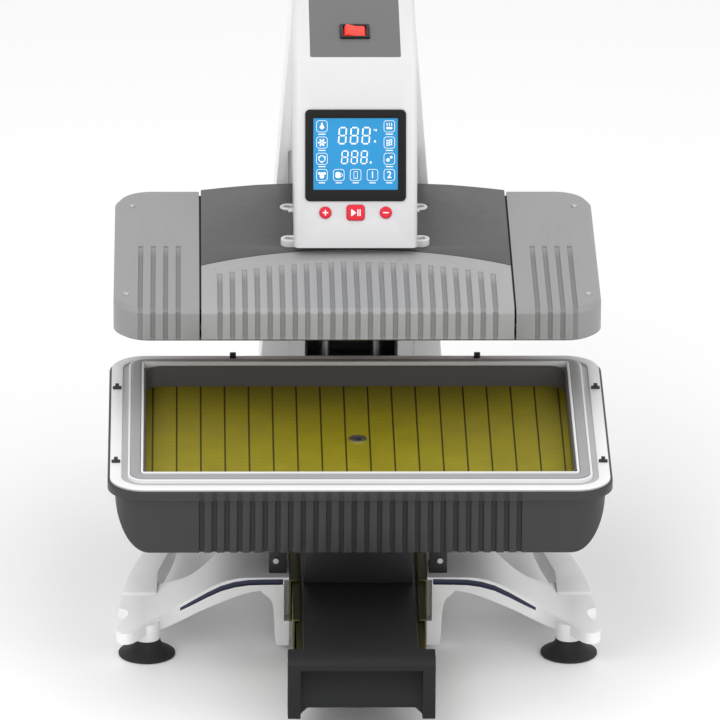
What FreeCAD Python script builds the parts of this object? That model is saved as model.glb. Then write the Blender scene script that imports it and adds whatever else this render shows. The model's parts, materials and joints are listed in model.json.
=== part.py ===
import FreeCAD, Part
import math
import os

# ---------------------------------------------------------------------------
# Vacuum heat press with a pull-out tray.  All sizes in mm.
# X is width, Y runs from the front (negative) to the column at the back,
# Z is up from the floor.  Y = 0 is the centre of the heated head.
# ---------------------------------------------------------------------------

# travel of the two main joints
DRAWER_TRAVEL = 200.0
HEAD_TRAVEL = 71.7

# tray
TRAY_W = 510.0
TRAY_D = 377.0
LIP_R = 38.0
LIP_BOTTOM_Z = 212.0
LIP_TOP_Z = 221.0
TUB_BOTTOM_Z = 153.0
LIP_OVERHANG = 7.5
TUB_SIDE_CURVE = 35.5
TUB_R = 30.0
TUB_WALL = 3.0
TUB_FRONT_WALL = 6.0
TUB_EASE = 0.5
RIM_INSET = 2.5
RIM_TOTAL = 33.5
OPENING_R = 20.0
RIM_BAND_W = 11.5
RIM_BAND_TOP_Z = 224.0
RIM_GROOVE_W = 6.5
RIDGE_W = 2.4
OUTER_RIDGE_TOP_Z = 227.0
INNER_RIDGE_TOP_Z = 230.0
SEAL_TOP_Z = 228.8
CLIP_HEIGHT = 5.5
PAN_FLOOR_Z = 196.0
PAN_WALL = 2.0
PAN_TOP_Z = 226.0
BED_TOP_Z = 204.0
BED_PITCH = 24.7
BED_GROOVE_W = 1.6
BED_GROOVE_DEPTH = 1.2
TUB_GROOVE_MARGIN = 45.0
TUB_GROOVE_TOP_Z = 209.0
TUB_CLEAR = 1.5
PORT_R = 7.0
PORT_BORE_R = 4.5
PORT_LIP_R = 9.0
PORT_LIP_T = 1.5
PORT_BOTTOM_Z = 140.0
RIM_BASE_T = 1.5
SEAL_GAP = 0.2
CLIP_SIDE_YS = (-112.0, 92.0)
CLIP_BACK_X = 127.0
CLIP_BAR_HALF = 4.5
CLIP_HALF = 2.0
CLIP_BAR_T = 2.5
BED_GAP = 0.2
GROOVE_PITCH = 12.8
GROOVE_W = 5.0
GROOVE_DEPTH = 2.4

# drawer running gear
CARRIAGE_TOP_Z = 75.0
CARRIAGE_T = 3.0
PEDESTAL_HALF_X = 56.0
PEDESTAL_HALF_Y = 74.0
PEDESTAL_WALL = 3.0
PUMP_R = 26.0
PUMP_LEN = 105.0
PUMP_FRONT = 55.0
PUMP_AXIS_Z = 106.0
PUMP_NECK_R = 10.0
PUMP_NECK_H = 34.0
SLIDE_LEN = 360.0
SLIDE_BOTTOM_Z = 32.0
SLIDE_H = 45.5
SLIDE_OUTER_X = 70.5
SLIDE_INNER_X = 58.0
SLIDE_T = 1.5
HANDLE_W = 148.0
HANDLE_D = 30.0
HANDLE_GAP = 1.0
HANDLE_TOP_Z = 86.0
GRIP_HALF_X = 61.0
CHEEK_T = 2.0
CHEEK_BOTTOM_Z = 40.0
HANDLE_BOTTOM_Z = 22.0

# base
BASE_FRONT_Y = -270.0
FOOT_X = 216.0
FOOT_FRONT_Y = -279.0
FOOT_REAR_Y = 224.0
CUP_R = 29.0
CUP_H = 17.5
CUP_TOP_R = 13.8
FOOT_BOSS_R = 13.4
BOSS_TOP_Z = 36.0
CUP_LIP_H = 2.5
STUD_R = 4.0
STUD_TOP_Z = 32.0
STUD_BOTTOM_Z = 8.0
LEG_UNDER_Z = 26.0
LEG_TOP_Z = 38.0
HUB_TOP_Z = 80.0
BRIDGE_T = 10.0
BRIDGE_HALF_X = 105.0
BRIDGE_FRONT_Y = 96.0
BRIDGE_BACK_Y = 295.0
RAIL_OUTER_X = 86.0
RAIL_FRONT_Y = -256.0
RAIL_BACK_Y = 205.0
RAIL_BOTTOM_Z = 29.0
PRONG_BACK_Y = -250.0
PRONG_BOTTOM_Z = 5.0
NOTCH_OUTER_X = 75.5
WEB_FRONT_Y = 150.0
WEB_BACK_Y = 200.0
WEB_BOTTOM_Z = 40.0
BRIDGE_CORNER_R = 12.0
PLATE_INNER_X = 73.0
PLATE_OUTER_X = 91.0
PLATE_T = 3.0
PLATE_TOP_Z = 116.0
PLATE_FOOT_D = 30.0
PLATE_SCREW_X = 84.0
PLATE_SCREW_Z = 94.0
SMALL_SCREW_R = 3.2

# column and arm
COLUMN_FRONT_Y = 200.0
COLUMN_D = 90.0
COLUMN_HALF_AT_154 = 95.0
COLUMN_TAPER = 0.081
COLUMN_TOP_Z = 546.0
COLUMN_WALL = 4.0
COLUMN_EDGE_R = 12.0
COLUMN_FLOOR_T = 6.0
COLUMN_ROOF_T = 14.0
CHANNEL_WALL = 2.0
CHANNEL_STEP_HALF_X = 67.0
CHANNEL_STEP_TOP_Z = 372.0
CHANNEL_STEP_D = 2.0
INLET_HALF_X = 24.0
INLET_BOTTOM_Z = 112.0
INLET_TOP_Z = 144.0
INLET_GAP = 0.1
CHANNEL_HALF_X = 49.0
CHANNEL_BOTTOM_Z = 118.0
CHANNEL_TOP_Z = 430.0
CHANNEL_D = 76.0
ROD_X = 28.0
ROD_Y = 245.0
ROD_R = 6.0
RUNNING_GAP = 0.05
ARM_HALF_X = 64.0
ARM_WALL = 3.0
ARM_FRONT_Y = -18.0
ARM_BOTTOM_Z = 345.0
ARM_FACE_TOP_Y = 45.0
ARM_FACE_TOP_Z = 531.5
ARM_STEP_Y = 113.0
ARM_STEP_Z = 374.0
SCREW_Y = 60.5
SCREW_R = 8.0
RAM_SIDE = 56.0
RAM_WALL = 4.0
RAM_TOP_Z = 396.0
RAM_GAP = 0.4
ARM_EDGE_R = 6.0
MOTOR_PLATE_Z = 400.0
MOTOR_PLATE_T = 4.0
MOTOR_PLATE_HALF_X = 61.0
MOTOR_R = 20.0
MOTOR_LEN = 62.0
MOTOR_AXIS_UP = 25.0
GEARBOX_HALF_X = 28.0
GEARBOX_HALF_Y = 26.0
GEARBOX_TOP_Z = 426.0
SCREW_TOP_Z = 504.0

# head
HEAD_W = 500.0
HEAD_D = 352.0
HEAD_R = 38.0
HEAD_BOTTOM_Z = 304.0
HEAD_TOP_Z = 337.5
HEAD_BEVEL = 5.0
HEAD_WALL = 3.0
DOME_RISE = 10.0
CAP_INNER_X = 161.0
SEAM = 1.0
ARC_R = 300.0
ARC_TOP_Y = -2.0
GROOVE_CLEAR = 36.0
FRAME_BOTTOM_Z = 302.0
HEATER_SIDE_MARGIN = 35.0
HEATER_END_MARGIN = 21.0
HEATER_T = 12.0
HEATER_R = 16.0
FRAME_TOP_Z = 306.0
FRAME_BAND = 30.0
MEMBRANE_BOTTOM_Z = 303.0
MEMBRANE_R = 5.0
INSULATION_MARGIN = 6.0
GROOVE_SINK = 1.5
CAP_GROOVE_HALF = 2.4
CAP_GROOVE_SINK = 1.4
CAP_GROOVES = (183.7, 196.5, 209.5, 222.5)
CAP_GROOVE_BACK_Y = 8.0
GROOVE_BOTTOM_Z = 306.4
COVER_GROOVES = 11
LUG_X = 68.5
LUG_FRONT_Y = 13.0
LUG_BACK_Y = 108.0
LUG_R = 8.8
LUG_SCREW_R = 4.6
LUG_WELL_R = 5.0
LUG_WELL_D = 3.0
NECK_FRONT_Y = 118.5
NECK_BACK_Y = 172.0
NECK_HALF_X = 63.0
NECK_TOP_Z = 369.0
CAP_SCREWS = ((232.0, 127.0), (237.0, -132.0))
CAP_SCREW_T = 1.2

# lengths that only have to reach past a piece
WELL_CLEAR = 100.0
FAR_FRONT_Y = -330.0
PAST = 1.0

NODES = {}


def keep(name, shape):
    """Store one finished piece under its node name."""
    NODES[name] = shape


def vec(x, y, z):
    """Point or direction."""
    return FreeCAD.Vector(x, y, z)


def box(x0, x1, y0, y1, z0, z1):
    """Block between two corners."""
    return Part.makeBox(x1 - x0, y1 - y0, z1 - z0, vec(x0, y0, z0))


def cyl(radius, start, direction, length):
    """Cylinder from a start point."""
    return Part.makeCylinder(radius, length, vec(*start), vec(*direction))


def rounded(width, depth, radius, z0, z1, cx=0.0, cy=0.0):
    """Upright prism with a rounded rectangular plan."""
    body = box(cx - width / 2, cx + width / 2, cy - depth / 2, cy + depth / 2, z0, z1)
    upright = [e for e in body.Edges if abs(e.BoundBox.ZLength - (z1 - z0)) < 0.01]
    return body.makeFillet(radius, upright)


def ring(width, depth, radius, band, z0, z1, cy):
    """Rounded rectangular ring of a given band width."""
    outer = rounded(width, depth, radius, z0, z1, 0.0, cy)
    inner = rounded(width - 2 * band, depth - 2 * band, radius - band, z0 - 1, z1 + 1, 0.0, cy)
    return outer.cut(inner)


def prism(points, push):
    """Closed polygon of 3-D points pushed along a vector."""
    corners = [vec(*p) for p in points]
    wire = Part.makePolygon(corners + corners[:1])
    return Part.Face(wire).extrude(vec(*push))


def side(points, x0, x1):
    """Prism of an outline seen from the side."""
    return prism([(x0, y, z) for y, z in points], (x1 - x0, 0, 0))


def front(points, y0, y1):
    """Prism of an outline seen from the front."""
    return prism([(x, y0, z) for x, z in points], (0, y1 - y0, 0))


def curved_face(pieces, place):
    """Face bounded by straight runs and smooth curves; place turns a 2-D point into 3-D."""
    edges = []
    for kind, points in pieces:
        spots = [vec(*place(a, b)) for a, b in points]
        if kind == "curve":
            spline = Part.BSplineCurve()
            spline.interpolate(spots)
            edges.append(spline.toShape())
        else:
            edges += [Part.makeLine(p, q) for p, q in zip(spots, spots[1:])]
    return Part.Face(Part.Wire(edges))


def curved_plan(pieces, z0, z1):
    """Upright prism of a plan with curves."""
    return curved_face(pieces, lambda x, y: (x, y, z0)).extrude(vec(0, 0, z1 - z0))


def curved_front(pieces, y0, y1):
    """Prism of a curved outline seen from the front."""
    return curved_face(pieces, lambda x, z: (x, y0, z)).extrude(vec(0, y1 - y0, 0))


def curved_side(pieces, x0, x1):
    """Prism of a curved outline seen from the side."""
    return curved_face(pieces, lambda y, z: (x0, y, z)).extrude(vec(x1 - x0, 0, 0))


def leaned(shape, angle, y, z):
    """Turn a locally built piece about X and move it to (y, z)."""
    out = shape.copy()
    out.rotate(vec(0, 0, 0), vec(1, 0, 0), angle)
    out.translate(vec(0, y, z))
    return out


def mirrored(shape):
    """Left-hand copy of a right-hand piece."""
    return shape.mirror(vec(0, 0, 0), vec(1, 0, 0))


def fused(shapes):
    """One solid from several."""
    first = shapes[0]
    return first.multiFuse(shapes[1:]).removeSplitter() if len(shapes) > 1 else first


def group(shapes):
    """Several separate solids kept as one piece."""
    return Part.makeCompound(shapes)


# ---------------------------------------------------------------------------
# base: two cast side frames, a rear bridge and four suction feet
# ---------------------------------------------------------------------------
MID_Y = (FOOT_FRONT_Y + FOOT_REAR_Y) / 2.0
LEG_PROFILE = [
    ("line", [(70.5, 66.0), (100.0, 65.5)]),
    ("curve", [(100.0, 65.5), (118.0, 61.5), (136.0, 54.5), (169.0, 39.0), (184.0, 31.0),
               (199.0, LEG_UNDER_Z)]),
    ("line", [(199.0, LEG_UNDER_Z), (250.0, LEG_UNDER_Z), (250.0, LEG_TOP_Z),
              (222.0, LEG_TOP_Z)]),
    ("curve", [(222.0, LEG_TOP_Z), (208.0, 39.5), (196.0, 43.5), (184.0, 49.5), (169.0, 58.5),
               (154.0, 67.5), (140.0, 74.5), (126.0, 78.5), (112.0, HUB_TOP_Z)]),
    ("line", [(112.0, HUB_TOP_Z), (70.5, HUB_TOP_Z), (70.5, 66.0)]),
]
LEG_PLAN = [
    ("line", [(70.5, -270.0), (176.0, -270.0)]),
    ("curve", [(176.0, -270.0), (198.0, -275.0), (216.0, -292.0), (228.0, -312.0),
               (234.5, -317.5), (241.0, -317.5), (245.8, -312.0), (246.4, -300.0),
               (244.6, -250.0)]),
    ("curve", [(244.6, -250.0), (240.5, -215.0), (230.0, -165.0), (212.0, -101.0)]),
    ("line", [(212.0, -101.0), (189.0, -101.0), (205.0, -176.0)]),
    ("curve", [(205.0, -176.0), (205.0, -187.0), (199.5, -193.5), (191.0, -197.0),
               (180.0, -203.5), (168.0, -206.0), (156.0, -200.0), (143.0, -186.0),
               (128.0, -166.0), (112.0, -150.0), (94.0, -142.0)]),
    ("line", [(94.0, -142.0), (70.5, -140.0), (70.5, -270.0)]),
]
BRANCH_PLAN = [
    ("curve", [(240.5, -215.0), (230.0, -165.0), (212.0, -101.0), (206.0, MID_Y)]),
    ("line", [(206.0, MID_Y), (182.0, MID_Y)]),
    ("curve", [(182.0, MID_Y), (189.0, -101.0), (205.0, -176.0)]),
    ("line", [(205.0, -176.0), (206.0, -215.0), (240.5, -215.0)]),
]
BRANCH_PROFILE = [
    ("line", [(MID_Y, LEG_UNDER_Z), (-232.0, LEG_UNDER_Z), (-232.0, LEG_TOP_Z)]),
    ("curve", [(-232.0, LEG_TOP_Z), (-205.0, 43.0), (-170.0, 48.5), (-101.0, 51.5),
               (MID_Y, 52.0)]),
    ("line", [(MID_Y, 52.0), (MID_Y, LEG_UNDER_Z)]),
]


def cast_side():
    """Right-hand side frame, front half mirrored to make the rear half."""
    leg = curved_plan(LEG_PLAN, 0.0, WELL_CLEAR)
    leg = leg.common(curved_front(LEG_PROFILE, FAR_FRONT_Y, 0.0))
    branch = curved_plan(BRANCH_PLAN, 0.0, WELL_CLEAR)
    branch = branch.common(curved_side(BRANCH_PROFILE, RAIL_OUTER_X, TRAY_W / 2 + LIP_OVERHANG))
    half = fused([leg, branch])
    back = half.mirror(vec(0, MID_Y, 0), vec(0, 1, 0))
    rail = box(SLIDE_OUTER_X, RAIL_OUTER_X, RAIL_FRONT_Y, RAIL_BACK_Y, RAIL_BOTTOM_Z, HUB_TOP_Z)
    prong = curved_front([
        ("line", [(SLIDE_OUTER_X, HUB_TOP_Z), (SLIDE_OUTER_X, PRONG_BOTTOM_Z),
                  (81.0, PRONG_BOTTOM_Z)]),
        ("curve", [(81.0, PRONG_BOTTOM_Z), (83.3, 6.2), (84.2, 9.0), (85.5, 30.0), (87.0, 48.0),
                   (90.5, 57.0), (96.5, 62.0), (99.0, 65.9)]),
        ("line", [(99.0, 65.9), (99.0, HUB_TOP_Z), (SLIDE_OUTER_X, HUB_TOP_Z)]),
    ], BASE_FRONT_Y, PRONG_BACK_Y)
    whole = fused([half, back, rail, prong])
    notch = box(SLIDE_INNER_X, NOTCH_OUTER_X, FAR_FRONT_Y, RAIL_FRONT_Y, SLIDE_BOTTOM_Z,
                SLIDE_BOTTOM_Z + SLIDE_H)
    whole = whole.cut(notch)
    for foot_y in (FOOT_FRONT_Y, FOOT_REAR_Y):
        boss = cyl(FOOT_BOSS_R, (FOOT_X, foot_y, CUP_H), (0, 0, 1), BOSS_TOP_Z - CUP_H)
        whole = fused([whole, boss])
        whole = whole.cut(cyl(STUD_R, (FOOT_X, foot_y, 0.0), (0, 0, 1), STUD_TOP_Z))
    return whole


CAST = cast_side()
keep("base_casting_right", CAST)
keep("base_casting_left", mirrored(CAST))

bridge = rounded(2 * BRIDGE_HALF_X, BRIDGE_BACK_Y - BRIDGE_FRONT_Y, BRIDGE_CORNER_R, HUB_TOP_Z,
                 HUB_TOP_Z + BRIDGE_T, 0.0, (BRIDGE_FRONT_Y + BRIDGE_BACK_Y) / 2)
web = box(-SLIDE_OUTER_X, SLIDE_OUTER_X, WEB_FRONT_Y, WEB_BACK_Y, WEB_BOTTOM_Z, HUB_TOP_Z)
keep("base_bridge", fused([bridge, web]))


def suction_foot(x, y):
    """Trumpet-shaped rubber suction cup."""
    outline = [
        ("line", [(0.0, 0.0), (CUP_R, 0.0), (CUP_R, CUP_LIP_H)]),
        ("curve", [(CUP_R, CUP_LIP_H), (25.0, 4.2), (20.0, 8.0), (16.0, 13.0), (CUP_TOP_R, CUP_H)]),
        ("line", [(CUP_TOP_R, CUP_H), (0.0, CUP_H), (0.0, 0.0)]),
    ]
    cup = curved_face(outline, lambda r, z: (r, 0.0, z))
    cup = cup.revolve(vec(0, 0, 0), vec(0, 0, 1), 360)
    cup = cup.cut(cyl(STUD_R, (0, 0, STUD_BOTTOM_Z), (0, 0, 1), CUP_H))
    cup.translate(vec(x, y, 0))
    return cup


FEET = {
    "foot_front_left": (-FOOT_X, FOOT_FRONT_Y),
    "foot_front_right": (FOOT_X, FOOT_FRONT_Y),
    "foot_rear_left": (-FOOT_X, FOOT_REAR_Y),
    "foot_rear_right": (FOOT_X, FOOT_REAR_Y),
}
studs = []
for foot_name, (foot_x, foot_y) in FEET.items():
    keep(foot_name, suction_foot(foot_x, foot_y))
    studs.append(cyl(STUD_R, (foot_x, foot_y, STUD_BOTTOM_Z), (0, 0, 1),
                     STUD_TOP_Z - STUD_BOTTOM_Z))
keep("foot_studs", group(studs))

# black front plates, one on each side of the drawer, each with one screw
PLATE_Y = -258.0


def front_plate():
    """Upright sheet with a foot that lies on the side frame."""
    upright = box(PLATE_INNER_X, PLATE_OUTER_X, PLATE_Y, PLATE_Y + PLATE_T, HUB_TOP_Z, PLATE_TOP_Z)
    foot = box(PLATE_INNER_X, PLATE_OUTER_X, PLATE_Y, PLATE_Y + PLATE_FOOT_D, HUB_TOP_Z,
               HUB_TOP_Z + PLATE_T)
    return fused([upright, foot])


keep("front_plate_right", front_plate())
keep("front_plate_left", mirrored(front_plate()))
keep("front_plate_screws", group([
    cyl(SMALL_SCREW_R, (s * PLATE_SCREW_X, PLATE_Y, PLATE_SCREW_Z), (0, -1, 0), 2.0)
    for s in (-1, 1)]))

# ---------------------------------------------------------------------------
# telescopic slides, drawn with the drawer pulled out
# ---------------------------------------------------------------------------
SLIDE_TOP_Z = SLIDE_BOTTOM_Z + SLIDE_H
SLIDE_Y0 = BASE_FRONT_Y


def channel(x_back, x_tip, inset, y0):
    """C-shaped slide member; x_back is its web, x_tip the flange tips."""
    lo = SLIDE_BOTTOM_Z + inset
    hi = SLIDE_TOP_Z - inset
    step = -SLIDE_T if x_tip < x_back else SLIDE_T
    web_x = sorted((x_back, x_back + step))
    flange_x = sorted((x_back, x_tip))
    web_part = box(web_x[0], web_x[1], y0, y0 + SLIDE_LEN, lo, hi)
    low = box(flange_x[0], flange_x[1], y0, y0 + SLIDE_LEN, lo, lo + SLIDE_T)
    high = box(flange_x[0], flange_x[1], y0, y0 + SLIDE_LEN, hi - SLIDE_T, hi)
    return fused([web_part, low, high])


# web x, flange tip x, height taken off top and bottom, front end
MEMBERS = {
    "slide_outer": (SLIDE_OUTER_X, 62.0, 0.0, SLIDE_Y0),
    "slide_middle": (67.5, 60.5, 2.2, SLIDE_Y0 - DRAWER_TRAVEL / 2),
    "slide_inner": (SLIDE_INNER_X, 64.5, 6.0, SLIDE_Y0 - DRAWER_TRAVEL),
}
for member_name, numbers in MEMBERS.items():
    member = channel(*numbers)
    keep(member_name + "_right", member)
    keep(member_name + "_left", mirrored(member))

# ---------------------------------------------------------------------------
# drawer: tray, pedestal with vacuum pump, carriage and handle
# ---------------------------------------------------------------------------
TY = -DRAWER_TRAVEL
TUB_HALF_TOP = TRAY_W / 2 - LIP_OVERHANG
TUB_HALF_BOTTOM = TUB_HALF_TOP - TUB_SIDE_CURVE
TUB_DEPTH = TRAY_D - 2 * LIP_OVERHANG
RIM_W = TRAY_W - 2 * RIM_INSET
RIM_D = TRAY_D - 2 * RIM_INSET
RIM_R = LIP_R - RIM_INSET
OPENING_W = RIM_W - 2 * RIM_TOTAL
OPENING_D = RIM_D - 2 * RIM_TOTAL
BED_LINES = int((OPENING_W / 2 - PAN_WALL) // BED_PITCH) + 1
TUB_GROOVES = int((TUB_HALF_BOTTOM - TUB_GROOVE_MARGIN) // GROOVE_PITCH)


def tub_outline(half_top, half_bottom, z_low, z_high):
    """Bathtub outline seen from the front: a quarter ellipse up each side."""
    steps = 8
    right = []
    for k in range(steps + 1):
        t = math.radians(90.0 * k / steps)
        x = half_bottom + (half_top - half_bottom) * math.sin(t)
        z = z_high - (z_high - z_low) * math.cos(t)
        right.append((x, z))
    left = [(-x, z) for x, z in reversed(right)]
    return [("curve", right), ("line", [right[-1], left[0]]), ("curve", left),
            ("line", [left[-1], right[0]])]


outer_tub = curved_front(tub_outline(TUB_HALF_TOP, TUB_HALF_BOTTOM, TUB_BOTTOM_Z, LIP_BOTTOM_Z),
                         TY - TUB_DEPTH / 2, TY + TUB_DEPTH / 2)
outer_tub = outer_tub.common(rounded(2 * (TUB_HALF_TOP + TUB_EASE), TUB_DEPTH, TUB_R,
                                     0.0, ARM_BOTTOM_Z, 0.0, TY))
inner_tub = curved_front(tub_outline(TUB_HALF_TOP - TUB_WALL, TUB_HALF_BOTTOM - TUB_WALL,
                                     TUB_BOTTOM_Z + TUB_WALL, LIP_BOTTOM_Z + 0.1),
                         TY - TUB_DEPTH / 2 + TUB_FRONT_WALL, TY + TUB_DEPTH / 2 - TUB_WALL)
inner_tub = inner_tub.common(rounded(2 * (TUB_HALF_TOP - TUB_WALL + TUB_EASE),
                                     TUB_DEPTH - 2 * TUB_WALL, TUB_R - TUB_WALL,
                                     0.0, ARM_BOTTOM_Z, 0.0, TY))
lip = rounded(TRAY_W, TRAY_D, LIP_R, LIP_BOTTOM_Z, LIP_TOP_Z, 0.0, TY)
tub = fused([outer_tub, lip]).cut(inner_tub)
tub = tub.cut(rounded(OPENING_W + 2 * TUB_CLEAR, OPENING_D + 2 * TUB_CLEAR,
                      OPENING_R + TUB_CLEAR, PAN_FLOOR_Z - PAN_WALL, ARM_BOTTOM_Z, 0.0, TY))
front_grooves = []
for index in range(TUB_GROOVES):
    for sign in (-1, 1):
        gx = sign * (GROOVE_PITCH / 2 + GROOVE_PITCH * index)
        front_grooves.append(box(gx - GROOVE_W / 2, gx + GROOVE_W / 2,
                                 TY - TUB_DEPTH / 2 - PAST, TY - TUB_DEPTH / 2 + GROOVE_DEPTH,
                                 TUB_BOTTOM_Z - PAST, TUB_GROOVE_TOP_Z))
port_bore = cyl(PORT_R, (0, TY, CARRIAGE_TOP_Z), (0, 0, 1), LIP_TOP_Z - CARRIAGE_TOP_Z)
tub = tub.cut(group(front_grooves)).cut(port_bore)
keep("tray_tub", tub)

# aluminium rim: flat outer band, groove, low ridge, seal groove, inner ridge
rim_base = ring(RIM_W, RIM_D, RIM_R, RIM_TOTAL, LIP_TOP_Z, RIM_BAND_TOP_Z - RIM_BASE_T, TY)


def rim_band(inset, band, top):
    """One raised band of the rim, a given distance in from its edge."""
    return ring(RIM_W - 2 * inset, RIM_D - 2 * inset, max(RIM_R - inset, band + 1.0),
                band, LIP_TOP_Z, top, TY)


RIDGE_AT = RIM_BAND_W + RIM_GROOVE_W
INNER_AT = RIM_TOTAL - RIDGE_W
keep("tray_rim", fused([
    rim_base,
    rim_band(0.0, RIM_BAND_W, RIM_BAND_TOP_Z),
    rim_band(RIDGE_AT, RIDGE_W, OUTER_RIDGE_TOP_Z),
    rim_band(INNER_AT, RIDGE_W, INNER_RIDGE_TOP_Z),
]))
SEAL_AT = RIDGE_AT + RIDGE_W
SEAL_W = INNER_AT - SEAL_AT
seal = ring(RIM_W - 2 * (SEAL_AT + SEAL_GAP), RIM_D - 2 * (SEAL_AT + SEAL_GAP),
            max(RIM_R - SEAL_AT, SEAL_W + 1.0), SEAL_W - 2 * SEAL_GAP,
            RIM_BAND_TOP_Z - RIM_BASE_T, SEAL_TOP_Z, TY)
keep("rim_seal", seal)

CLIP_Z = RIM_BAND_TOP_Z
clips = []
for sign in (-1, 1):
    clip_x = sign * (RIM_W / 2 - RIM_BAND_W / 2)
    for clip_y in CLIP_SIDE_YS:
        bar = box(clip_x - CLIP_BAR_HALF, clip_x + CLIP_BAR_HALF, TY + clip_y - CLIP_HALF,
                  TY + clip_y + CLIP_HALF, CLIP_Z, CLIP_Z + CLIP_BAR_T)
        stub = box(clip_x - CLIP_HALF, clip_x + CLIP_HALF, TY + clip_y - CLIP_HALF,
                   TY + clip_y + CLIP_HALF, CLIP_Z, CLIP_Z + CLIP_HEIGHT)
        clips.append(fused([bar, stub]))
    clips.append(box(sign * CLIP_BACK_X - 3.2, sign * CLIP_BACK_X + 3.2, TY + RIM_D / 2 - 8.5,
                     TY + RIM_D / 2 - 3.5, CLIP_Z, CLIP_Z + CLIP_HEIGHT))
keep("rim_clips", group(clips))

pan = rounded(OPENING_W, OPENING_D, OPENING_R, PAN_FLOOR_Z, PAN_TOP_Z, 0.0, TY)
pan = pan.cut(rounded(OPENING_W - 2 * PAN_WALL, OPENING_D - 2 * PAN_WALL,
                      OPENING_R - PAN_WALL, PAN_FLOOR_Z + PAN_WALL, PAN_TOP_Z + PAST, 0.0, TY))
keep("tray_pan", pan.cut(port_bore))

bed = rounded(OPENING_W - 2 * (PAN_WALL + BED_GAP), OPENING_D - 2 * (PAN_WALL + BED_GAP),
              OPENING_R - PAN_WALL - BED_GAP, PAN_FLOOR_Z + PAN_WALL, BED_TOP_Z, 0.0, TY)
bed_cuts = []
for index in range(BED_LINES):
    for sign in (-1, 1):
        lx = sign * (BED_PITCH / 2 + BED_PITCH * index)
        bed_cuts.append(box(lx - BED_GROOVE_W / 2, lx + BED_GROOVE_W / 2, TY - OPENING_D / 2,
                            TY + OPENING_D / 2, BED_TOP_Z - BED_GROOVE_DEPTH, BED_TOP_Z + PAST))
keep("bed_plate", bed.cut(group(bed_cuts)).cut(port_bore))

port_tube = cyl(PORT_R, (0, TY, PORT_BOTTOM_Z), (0, 0, 1), BED_TOP_Z - PORT_BOTTOM_Z)
port_lip = cyl(PORT_LIP_R, (0, TY, BED_TOP_Z), (0, 0, 1), PORT_LIP_T)
port_hole = cyl(PORT_BORE_R, (0, TY, CARRIAGE_TOP_Z), (0, 0, 1), LIP_TOP_Z - CARRIAGE_TOP_Z)
keep("vacuum_port", fused([port_tube, port_lip]).cut(port_hole))

pedestal = box(-PEDESTAL_HALF_X, PEDESTAL_HALF_X, TY - PEDESTAL_HALF_Y, TY + PEDESTAL_HALF_Y,
               CARRIAGE_TOP_Z, TUB_BOTTOM_Z)
pedestal = pedestal.cut(box(-PEDESTAL_HALF_X + PEDESTAL_WALL, PEDESTAL_HALF_X - PEDESTAL_WALL,
                            TY - PEDESTAL_HALF_Y + PEDESTAL_WALL,
                            TY + PEDESTAL_HALF_Y - PEDESTAL_WALL, 0.0, LIP_TOP_Z))
keep("pedestal", pedestal)

pump_body = cyl(PUMP_R, (0, TY - PUMP_FRONT, PUMP_AXIS_Z), (0, 1, 0), PUMP_LEN)
pump_foot = box(-20.0, 20.0, TY - 45.0, TY + 40.0, CARRIAGE_TOP_Z, 100.0)
pump_neck = cyl(PUMP_NECK_R, (0, TY, PUMP_AXIS_Z), (0, 0, 1), PUMP_NECK_H)
pump = fused([pump_body, pump_foot, pump_neck])
keep("vacuum_pump", pump)

HANDLE_BACK_Y = BASE_FRONT_Y - DRAWER_TRAVEL - HANDLE_GAP
HANDLE_FRONT_Y = HANDLE_BACK_Y - HANDLE_D
CARRIAGE_BACK_Y = SLIDE_Y0 - DRAWER_TRAVEL + SLIDE_LEN
deck = box(-SLIDE_INNER_X, SLIDE_INNER_X, HANDLE_BACK_Y, CARRIAGE_BACK_Y,
           CARRIAGE_TOP_Z - CARRIAGE_T, CARRIAGE_TOP_Z)
carriage_parts = [deck]
for sign in (-1, 1):
    cheek_x = sorted((sign * (SLIDE_INNER_X - CHEEK_T), sign * SLIDE_INNER_X))
    carriage_parts.append(box(cheek_x[0], cheek_x[1], HANDLE_BACK_Y, CARRIAGE_BACK_Y,
                              CHEEK_BOTTOM_Z, CARRIAGE_TOP_Z - CARRIAGE_T))
keep("carriage", fused(carriage_parts))

HANDLE_OUTLINE = [
    (-HANDLE_D, HANDLE_BOTTOM_Z), (-HANDLE_D, 80.0), (-26.5, 84.5), (-22.0, HANDLE_TOP_Z),
    (0.0, HANDLE_TOP_Z), (0.0, HANDLE_BOTTOM_Z),
]
handle = side([(HANDLE_BACK_Y + y, z) for y, z in HANDLE_OUTLINE], -HANDLE_W / 2, HANDLE_W / 2)
GRIP_POCKET = [(-PAST, 10.0), (8.0, 10.0), (8.0, 40.0), (20.0, 62.0), (20.0, 74.0), (-PAST, 74.0)]
grip_pocket = side([(HANDLE_FRONT_Y + y, z) for y, z in GRIP_POCKET], -GRIP_HALF_X, GRIP_HALF_X)
ARCH_OUTLINE = [(-61.0, 10.0), (-61.0, 24.0), (-54.0, 31.0), (54.0, 31.0), (61.0, 24.0),
                (61.0, 10.0)]
arch = front(ARCH_OUTLINE, HANDLE_FRONT_Y - PAST, HANDLE_BACK_Y + PAST)
keep("drawer_handle", handle.cut(grip_pocket).cut(arch))

# ---------------------------------------------------------------------------
# column with its front channel and guide rods
# ---------------------------------------------------------------------------
COLUMN_BOTTOM_Z = HUB_TOP_Z + BRIDGE_T
COLUMN_BACK_Y = COLUMN_FRONT_Y + COLUMN_D


def column_half(z):
    """Half width of the tapering column at height z."""
    return COLUMN_HALF_AT_154 - COLUMN_TAPER * (z - 154.0)


def column_prism(wall, y0, y1, z0, z1):
    """Tapering block of the column, drawn in by a wall thickness."""
    low = column_half(z0) - wall
    high = column_half(z1) - wall
    return front([(-low, z0), (low, z0), (high, z1), (-high, z1)], y0, y1)


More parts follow.
